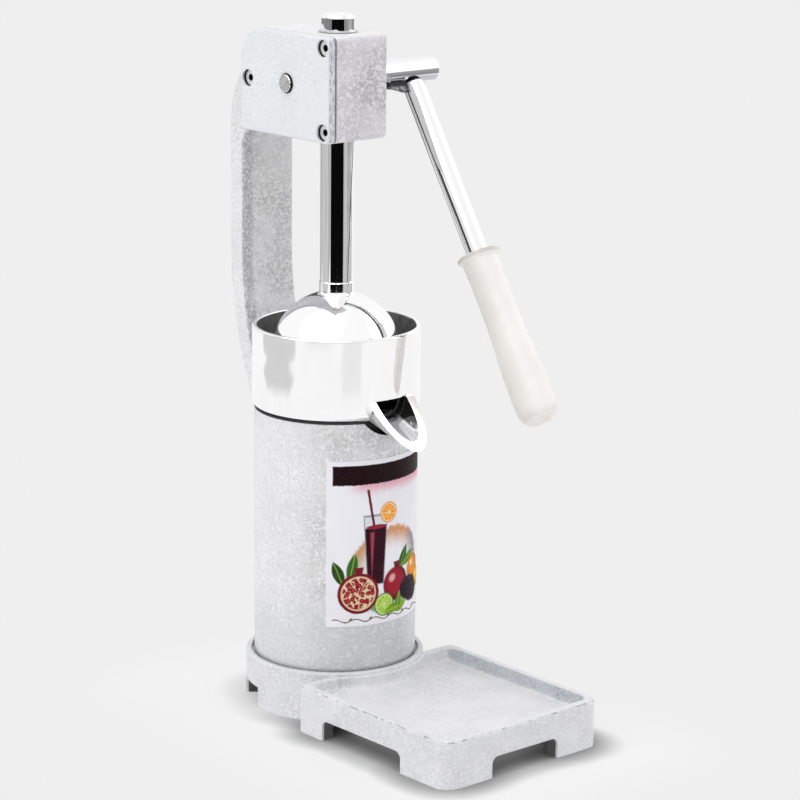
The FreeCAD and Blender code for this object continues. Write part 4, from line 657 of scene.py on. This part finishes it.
def printed_label(name):
    """The label, laid from back to front; places and sizes are in the label's millimetres."""
    ink = Print(name)
    maroon = (0.012, 0.0015, 0.003)
    # dark brushed band with a red bloom under it
    ragged = ink.noise(1.0, 2.0, 0.6, 0.0, ink.point(ink.u * 0.9, ink.v * 0.16, 0.0))
    bloom_foot = (ragged - 0.5) * 14.0 + 163.0
    bloom = ink.v.step(bloom_foot, 173.0) * ink.u.step(-36.0, -18.0) * ink.v.step(176.0, 171.0)
    ink.lay(bloom * 0.62, (0.75, 0.10, 0.20))
    band_low = (ragged - 0.5) * 1.6 + 172.4
    band = ink.v.step(band_low - 0.4, band_low + 0.4) * ink.v.step(187.0, 186.2) * ink.u.step(-43.6, -42.8)
    reflection_share = ragged.step(0.56, 0.75) * ink.u.step(0.0, 40.0)
    ink.lay(band, ink.mix(reflection_share, maroon, (0.13, 0.045, 0.04)))
    # soft halo behind the fruit
    halo_u, halo_v = ink.from_point(1.0, 108.0, 34.0, 30.0, 24.0)
    far = length(halo_u, halo_v) + ink.wobble * 0.2
    turn = halo_v.math("ARCTAN2", halo_u)
    hues = ink.mix((turn + 0.6).sine().step(-0.9, 0.9), (0.16, 0.36, 0.14), (0.66, 0.30, 0.12))
    hues = ink.mix((turn * 2.0).cosine().step(0.2, 1.0) * 0.6, hues, (0.14, 0.28, 0.46))
    ink.lay(far.step(1.08, 0.96) * far.step(0.45, 1.0), hues)
    # tall glass of dark juice with a straw and a slice on its rim
    ink.lay(ink.box(-11.0, 124.0, 8.4, 26.0, 0.4, 0.06), (0.34, 0.36, 0.40))
    ink.lay(ink.box(-11.0, 123.5, 7.5, 24.8, 0.4, 0.06), (0.72, 0.75, 0.80))
    ink.lay(ink.box(-11.0, 119.5, 7.5, 20.8, 0.4, 0.06), (0.030, 0.002, 0.010))
    ink.lay(ink.box(-14.0, 121.0, 0.9, 16.0, 0.5, 0.05), (0.34, 0.05, 0.08))
    ink.lay(ink.oval(-10.4, 140.8, 8.5, 1.6), (0.30, 0.02, 0.05))
    straw_u, straw_v = ink.from_point(-15.0, 155.0, 1.0, 13.5, 10.0)
    ink.lay(straw_u.size().step(1.2, 0.8) * straw_v.size().step(1.05, 1.0), (0.16, 0.02, 0.03))
    ink.slice(0.0, 150.0, 7.6, 9.0, (0.80, 0.24, 0.01), (0.90, 0.74, 0.45), (0.80, 0.28, 0.015))
    # leaves
    ink.leaf(-39.0, 108.0, 10.0, 4.0, 112.0, (0.02, 0.07, 0.012), (0.30, 0.42, 0.06))
    ink.leaf(-29.0, 112.0, 11.0, 3.8, 78.0, (0.04, 0.14, 0.015), (0.35, 0.5, 0.10))
    ink.leaf(15.0, 113.0, 11.0, 3.8, 62.0, (0.03, 0.10, 0.012), (0.25, 0.38, 0.08))
    ink.leaf(22.0, 112.0, 10.0, 3.4, 28.0, (0.10, 0.24, 0.02), (0.45, 0.6, 0.12))
    # whole fruit
    ink.ball(31.0, 103.0, 9.5, (0.86, 0.30, 0.02), (0.95, 0.75, 0.45))
    ink.ball(40.5, 93.0, 7.5, (0.88, 0.50, 0.04), (0.95, 0.85, 0.50))
    ink.ball(8.0, 96.0, 12.5, (0.34, 0.012, 0.03), (0.75, 0.40, 0.40))
    ink.lay(ink.box(8.0, 110.0, 2.6, 2.4, 0.5, 0.25), (0.16, 0.008, 0.02))
    # halved pomegranate
    ink.lay(ink.oval(-24.0, 93.0, 15.5, 15.0, 0.0, 0.03), (0.20, 0.008, 0.02))
    ink.lay(ink.oval(-24.0, 93.0, 13.2, 12.7, 0.0, 0.03), (0.80, 0.60, 0.38))
    seeds = ink.cells(0.36, ink.point(ink.u, ink.v, 0.0))
    aril = seeds.step(0.72, 0.50)
    chambers = (ink.u + 24.0).math("ARCTAN2", ink.v - 93.0)
    walls = (chambers * 2.5).cosine().size().step(0.03, 0.14)
    grains = ink.mix(seeds.step(0.1, 0.4), (0.72, 0.06, 0.08), (0.24, 0.004, 0.015))
    ink.lay(ink.oval(-24.0, 93.0, 12.2, 11.7, 0.0, 0.04) * walls * aril, grains)
    ink.lay(ink.box(-24.0, 109.6, 3.0, 2.6, 0.5, 0.25), (0.20, 0.008, 0.02))
    # dark grapes and a lime
    berries = ink.cells(0.20, ink.point(ink.u, ink.v, 3.0), 0.35)
    bunch = ink.oval(25.0, 88.5, 13.5, 9.5, -18.0, 0.10)
    ink.lay(bunch, (0.010, 0.002, 0.008))
    ink.lay(bunch * berries.step(0.52, 0.30), (0.075, 0.010, 0.050))
    ink.lay(bunch * berries.step(0.20, 0.08), (0.42, 0.30, 0.42))
    ink.slice(-3.5, 82.5, 8.5, 10.0, (0.06, 0.20, 0.01), (0.66, 0.76, 0.36), (0.30, 0.50, 0.04))
    small_leaves = ((7.0, 78.0, 160.0), (13.0, 78.5, 24.0), (10.0, 82.0, 80.0), (3.0, 77.5, 8.0))
    for place, (u, v, turn) in enumerate(small_leaves):
        green = (0.10 + 0.09 * (place % 2), 0.26 + 0.10 * (place % 2), 0.015)
        ink.leaf(u, v, 8.0, 2.7, turn, green, (0.55, 0.68, 0.15))
    # thin vine along the foot
    vine = (ink.u * 0.42).sine() * 1.1 + 73.2
    within = ink.u.size().step(43.5, 42.5)
    ink.lay((ink.v - vine).size().step(0.55, 0.25) * within, (0.16, 0.08, 0.04))
    sprigs = (ink.u * 0.42 + 1.57).sine().step(0.80, 0.95)
    ink.lay((ink.v - vine - 1.0).size().step(1.1, 0.6) * sprigs * within * 0.85, (0.10, 0.09, 0.03))
    ink.put("Base Color", ink.mix(ink.fine.step(0.5, 0.9) * 0.06, ink.ink, (0.7, 0.7, 0.74)))
    ink.put("Normal", ink.bump(ink.fine, 0.00003))
    return ink.material


enamel = frame_enamel("enamel_frame")
enamel_cover = cover_enamel("enamel_cover")
enamel_base = base_enamel("enamel_base")
cup_finish = cup_metal("casting_cup")
bell_finish = bright_casting("casting_bell", 0.97, 0.03, 0.00005)
cone_finish = bright_casting("casting_cone", 0.9, 0.14, 0.0001)
rod_chrome = chrome("chrome_rod", "rod")
shaft_chrome = chrome("chrome_shaft", "shaft")
lever_chrome = chrome("chrome_lever", "lever")
bright = steel("steel_bright")
screw_finish = screw_steel("steel_screws")
web_dark_shade = black_steel("steel_black")
bush_bronze = bronze("bush_bronze")
gasket = gasket_sheet("gasket_fibre")
grip_cream = cream_plastic("grip_cream")
label_print = printed_label("label_print")

FINISHES = {
    "frame_casting": enamel,
    "gearbox_cover": enamel_cover,
    "base_tray": enamel_base,
    "cover_gasket": gasket,
    "cover_screws": screw_finish,
    "base_bolts": bright,
    "base_washers": bright,
    "upper_rod_bush": bright,
    "lower_rod_bush": bush_bronze,
    "shaft_bush": bush_bronze,
    "cover_bush": bush_bronze,
    "rack_rod": rod_chrome,
    "pinion_gear": bright,
    "pinion_shaft": shaft_chrome,
    "pinion_key": bright,
    "shaft_spacers": bright,
    "lever_rod": lever_chrome,
    "lever_gusset": web_dark_shade,
    "hand_grip": grip_cream,
    "press_bell": bell_finish,
    "bell_washer": bright,
    "bell_bolt": bright,
    "juice_cup": cup_finish,
    "strainer_plate": bright,
    "pressing_cone": cone_finish,
    "front_label": label_print,
}
for name, finish in FINISHES.items():
    data = nodes[name].data
    data.materials.clear()
    data.materials.append(finish)


# The lever's bar, its weld and its web, a little truer to the photo than the solids

SHARP_FROM = 32.0
LEVER_X = 82.5
BAR_TOP = 9.2
BAR_RADIUS = 8.1
BAR_GRIPPED_RADIUS = 7.0
BAR_END = 262.0
GRIP_TOP = 145.0
WEB_HALF_THICKNESS = 1.6


def piece_of(name, points, faces, finish, body):
    """A closed piece in the row's frame, from points in millimetres."""
    mesh = bpy.data.meshes.new(name)
    mesh.from_pydata([[part * MM for part in point] for point in points], [], faces)
    mesh.polygons.foreach_set("use_smooth", [True] * len(mesh.polygons))
    mesh.set_sharp_from_angle(angle=math.radians(SHARP_FROM))
    mesh.materials.append(finish)
    piece = bpy.data.objects.new(name, mesh)
    bpy.context.scene.collection.objects.link(piece)
    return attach(piece, body)


def on_lever(across, out, down):
    """The row place of a point given across, out of and down the lever."""
    back = down * math.sin(LEVER_LEAN) + out * math.cos(LEVER_LEAN)
    drop = down * math.cos(LEVER_LEAN) - out * math.sin(LEVER_LEAN)
    return (across, SHAFT_Y - back, SHAFT_Z - drop)


def turned(name, profile, spot, finish, body, steps=72, ripple=0.0):
    """A turned piece, from (way along, radius) rows.

    spot() gives the place of a point from its way along and its two ways off the axis.
    """
    points, faces = [], []
    for row, (along, radius) in enumerate(profile):
        for i in range(steps):
            angle = 2.0 * math.pi * i / steps
            reach = radius * (1.0 + ripple * math.sin(angle * 9.0 + row * 1.7))
            points.append(spot(along, reach * math.cos(angle), reach * math.sin(angle)))
    last = (len(profile) - 1) * steps
    for start in range(0, last, steps):
        for i in range(steps):
            j = (i + 1) % steps
            faces.append((start + i, start + j, start + steps + j, start + steps + i))
    faces.append(tuple(range(steps - 1, -1, -1)))
    faces.append(tuple(range(last, last + steps)))
    return piece_of(name, points, faces, finish, body)


def along_lever(down, across, out):
    """The row place of a point down the lever from the shaft, and off the bar's axis."""
    return on_lever(LEVER_X - across, out, down)


def add_lever_joint():
    """A bar a little thicker than its solid that ends under the shaft, and the web in the bar's plane."""
    shoulder = GRIP_TOP - 0.15
    bar = turned("lever_bar", [
        (BAR_TOP, 5.6), (BAR_TOP + 0.5, 6.7), (BAR_TOP + 1.3, 7.5), (BAR_TOP + 2.4, 8.0),
        (BAR_TOP + 3.4, BAR_RADIUS), (shoulder, BAR_RADIUS), (shoulder, BAR_GRIPPED_RADIUS),
        (BAR_END, BAR_GRIPPED_RADIUS)],
        along_lever, lever_chrome, "lever")
    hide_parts("lever_rod")
    turned("lever_weld", [
        (8.6, 3.0), (8.7, 5.2), (9.3, 6.6), (10.0, 7.0), (10.5, 6.9), (10.5, 5.0)],
        along_lever, web_dark_shade, "lever", ripple=0.02)
    # the web's outline, as (x, distance down the lever)
    outline = (
        (50.0, 8.7), (76.4, 8.7), (77.2, 12.0), (75.8, 16.4), (71.0, 15.8), (63.0, 12.9), (50.0, 10.8))
    count = len(outline)
    sides = (-WEB_HALF_THICKNESS, WEB_HALF_THICKNESS)
    points = [on_lever(x, out, down) for out in sides for x, down in outline]
    faces = [tuple(range(count)), tuple(range(2 * count - 1, count - 1, -1))]
    faces += [(i, i + count, (i + 1) % count + count, (i + 1) % count) for i in range(count)]
    web = piece_of("lever_web", points, faces, web_dark_shade, "lever")
    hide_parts("lever_gusset")


add_lever_joint()


# Stage, in metres: a pale floor, and cards that only metal mirrors

FLOOR_REACH = 14.0
PAPER = 0.863
MIRRORED_FLOOR = 0.97
CARD_HEIGHT = 0.004


def sheet_mesh(name, corners):
    """One flat face that is no part of the object."""
    mesh = bpy.data.meshes.new(name)
    mesh.from_pydata(corners, [], [tuple(range(len(corners)))])
    piece = bpy.data.objects.new(name, mesh)
    bpy.context.scene.collection.objects.link(piece)
    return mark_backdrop(piece) or piece


def studio_floor():
    """A wide pale floor with a contact shadow, weaker behind the tray, and some of the lamps' shadow.

    The camera sees it as even as the backdrop far off, and metal sees it a little brighter.
    """
    r = FLOOR_REACH
    floor = sheet_mesh("studio_floor", [(-r, -r, 0), (r, -r, 0), (r, r, 0), (-r, r, 0)])
    paint = Paint("floor_paper", Roughness=0.9, Specular_IOR_Level=0.0)
    x, y, z = paint.axes()
    # distance from the machine's box on the floor, in millimetres
    away = length((x.size() - 72.0).most(0.0), ((y + 69.0).size() - 133.0).most(0.0))
    contact = paint.hollow(0.025).power(4.0)
    contact = 1.0 - (1.0 - contact) * (1.0 - y.step(-45.0, 10.0) * 0.65)
    paper = paint.mix(paint.noise(3.0, 2.0, 0.5), grey(0.93), grey(0.935))
    paint.put("Base Color", paper)
    path = paint.tree.nodes.new("ShaderNodeLightPath")
    even = paint.glow(contact * PAPER)
    shaded = paint.blend(away.step(120.0, 15.0) * 0.3, even, paint.shader.outputs[0])
    seen = paint.blend(path.outputs["Is Camera Ray"], paint.shader.outputs[0], shaded)
    paint.surface(paint.blend(path.outputs["Is Glossy Ray"], seen, paint.glow(MIRRORED_FLOOR)))
    floor.data.materials.append(paint.material)
    return floor


def glossy_only(piece):
    """Hide a card from all but the rays that metal reflects."""
    piece.visible_camera = False
    piece.visible_diffuse = False
    piece.visible_shadow = False
    piece.visible_transmission = False
    return piece


def grey_glow(name, level, stripes=0.0):
    """An even grey with faint clouds, or with level stripes."""
    paint = Paint(name, Roughness=0.9)
    cloud = paint.noise(2.0) * (level * 0.2) + level * 0.9
    if stripes:
        x, y, z = paint.axes()
        bands = paint.noise(1.0, 2.0, 0.6, 0.0, paint.point(0.0, 0.0, z * stripes))
        cloud = cloud + (bands - 0.5) * level * 1.6
    paint.surface(paint.glow(cloud))
    return paint.material


def card(name, first, last, near, far, level):
    """A grey card just over the floor, between two bearings and two distances from the press axis."""
    steps = 24
    corners = []
    for reach, order in ((near, range(steps + 1)), (far, range(steps, -1, -1))):
        for i in order:
            angle = math.radians(first + (last - first) * i / steps)
            corners.append((reach * math.cos(angle), reach * math.sin(angle), CARD_HEIGHT))
    sheet = sheet_mesh(name, corners)
    sheet.data.materials.append(grey_glow(name + "_grey", level))
    return glossy_only(sheet)


def standing_card(name, x, y, bearing, half_width, low, high, level, stripes=0.0):
    """An upright card, facing along a bearing."""
    angle = math.radians(bearing)
    across_x = -math.sin(angle) * half_width
    across_y = math.cos(angle) * half_width
    sheet = sheet_mesh(name, [
        (x - across_x, y - across_y, low), (x + across_x, y + across_y, low),
        (x + across_x, y + across_y, high), (x - across_x, y - across_y, high)])
    sheet.data.materials.append(grey_glow(name + "_grey", level, stripes))
    return glossy_only(sheet)


def soft_card(name, bearing, half_spread, near, far, level, waist=0.0):
    """A grey patch with soft, uneven edges over the floor; near and far are in millimetres."""
    angle = math.radians(bearing)
    along, across = (math.cos(angle), math.sin(angle)), (-math.sin(angle), math.cos(angle))
    corners = []
    for u, v in ((near - 60.0, -1.0), (far + 40.0, -1.0), (far + 40.0, 1.0), (near - 60.0, 1.0)):
        v *= far * (half_spread + 0.2)
        corners.append((
            (along[0] * u + across[0] * v) * MM, (along[1] * u + across[1] * v) * MM, CARD_HEIGHT + 0.001))
    sheet = sheet_mesh(name, corners)
    paint = Paint(name + "_grey", Roughness=0.9)
    x, y, z = paint.axes()
    wander = paint.noise(6.0, 2.0, 0.5) - 0.5
    ahead = x * along[0] + y * along[1]
    aside = x * across[0] + y * across[1]
    reach = length(x, y) + wander * 60.0
    narrowed = (reach - (near * 0.55 + far * 0.45)).size().step(60.0, 0.0) * waist
    turn = (aside / ahead).size() + wander * 0.16 + narrowed
    mask = reach.step(near - 12.0, near + 14.0) * reach.step(far + 8.0, far - 8.0)
    mask = mask * turn.step(half_spread + 0.05, half_spread - 0.05)
    paint.surface(paint.glow(MIRRORED_FLOOR - mask * (MIRRORED_FLOOR - level)))
    sheet.data.materials.append(paint.material)
    return glossy_only(sheet)


def lever_card(name, places, level):
    """A strip beside the lever, from corners in millimetres."""
    sheet = sheet_mesh(name, [(x * MM, y * MM, z * MM) for x, y, z in places])
    sheet.data.materials.append(grey_glow(name + "_grey", level))
    return glossy_only(sheet)


studio_floor()
card("card_front", 185.5, 274.7, 1.31, 6.5, 0.003)
card("card_left", 75.0, 184.5, 1.31, 3.8, 0.58)
card("card_left_far", 75.0, 184.5, 3.8, 6.5, 0.25)
card("card_right", 276.0, 338.0, 1.31, 3.8, 0.58)
card("card_right_far", 276.0, 372.0, 3.8, 6.5, 0.28)
card("card_line", 342.5, 349.5, 1.31, 3.8, 0.12)
soft_card("patch_left", 144.0, 0.58, 1000.0, 1285.0, 0.66, 0.22)
soft_card("patch_front", 250.0, 0.23, 1010.0, 1290.0, 0.86)
standing_card("card_shaft", 0.411, -0.346, 133.0, 0.17, 0.175, 0.475, 0.42, 0.035)
standing_card("card_streak", -3.99, 3.01, 143.0, 0.60, 0.0, 0.95, 0.05)
standing_card("card_streak_soft", -4.68, 2.0, 157.0, 0.70, 0.0, 1.0, 0.30)
standing_card("card_edge", 0.09, 0.16, 270.0, 0.03, 0.20, 0.44, 0.10)
lever_card("card_beside_lever", (
    (60.0, 24.0, 442.0), (60.0, 39.0, 442.0), (60.0, -26.0, 360.0),
    (60.0, -72.0, 287.0), (60.0, -84.0, 287.0), (60.0, -37.0, 360.0)), 0.07)
lever_card("card_bush_side", (
    (60.0, 4.0, 446.0), (60.0, 23.5, 442.0), (60.0, -11.0, 384.0), (60.0, -28.0, 384.0)), 0.62)


# Light

def studio_world(light, seen, shine):
    """Even light from all round, with its own level for the camera and for metal."""
    world = bpy.data.worlds.new("studio")
    bpy.context.scene.world = world
    world.use_nodes = True
    sky = world.node_tree
    path = sky.nodes.new("ShaderNodeLightPath")
    layer = sky.nodes["Background"]
    layer.inputs["Color"].default_value = (1.0, 1.0, 1.0, 1.0)
    layer.inputs["Strength"].default_value = light
    result = layer.outputs[0]
    for ray, level in (("Is Camera Ray", seen), ("Is Glossy Ray", shine)):
        layer = sky.nodes.new("ShaderNodeBackground")
        layer.inputs["Color"].default_value = (1.0, 1.0, 1.0, 1.0)
        layer.inputs["Strength"].default_value = level
        choice = sky.nodes.new("ShaderNodeMixShader")
        sky.links.new(path.outputs[ray], choice.inputs[0])
        sky.links.new(result, choice.inputs[1])
        sky.links.new(layer.outputs[0], choice.inputs[2])
        result = choice.outputs[0]
    sky.links.new(result, sky.nodes["World Output"].inputs["Surface"])


studio_world(0.58, PAPER, 1.0)


def sun(name, bearing, height, strength, spread):
    """A wide soft sun; bearing, height and spread are in degrees."""
    light = bpy.data.lights.new(name, "SUN")
    light.energy = strength
    light.angle = math.radians(spread)
    lamp = bpy.data.objects.new(name, light)
    around = math.radians(bearing)
    up = math.radians(height)
    towards = Vector((math.cos(around) * math.cos(up), math.sin(around) * math.cos(up), math.sin(up)))
    lamp.rotation_euler = towards.to_track_quat("Z", "Y").to_euler()
    lamp.location = towards * 4.0
    bpy.context.scene.collection.objects.link(lamp)
    return lamp


sun("key_light", 180.0, 60.0, 1.48, 70.0)
sun("fill_light", 340.0, 20.0, 0.72, 60.0)


# Camera, solved from the photo

CAMERA_PLACE = Vector((-1.3300, -1.5836, 0.7272))
CAMERA_AIM = Vector((0.64093, 0.72978, -0.23799))
CAMERA_ROLL = 0.596
CAMERA_LENS = 134.044


def add_camera():
    data = bpy.data.cameras.new("photo_camera")
    data.sensor_width = 36.0
    data.lens = CAMERA_LENS
    data.clip_end = 100.0
    camera = bpy.data.objects.new("photo_camera", data)
    aim = CAMERA_AIM.normalized()
    right = aim.cross(Vector((0.0, 0.0, 1.0))).normalized()
    up = right.cross(aim)
    roll = math.radians(CAMERA_ROLL)
    rolled_right = right * math.cos(roll) + up * math.sin(roll)
    rolled_up = up * math.cos(roll) - right * math.sin(roll)
    basis = Matrix((rolled_right, rolled_up, -aim)).transposed().to_4x4()
    camera.matrix_world = Matrix.Translation(CAMERA_PLACE) @ basis
    bpy.context.scene.collection.objects.link(camera)
    bpy.context.scene.camera = camera


add_camera()
bpy.context.scene.view_settings.view_transform = "Standard"
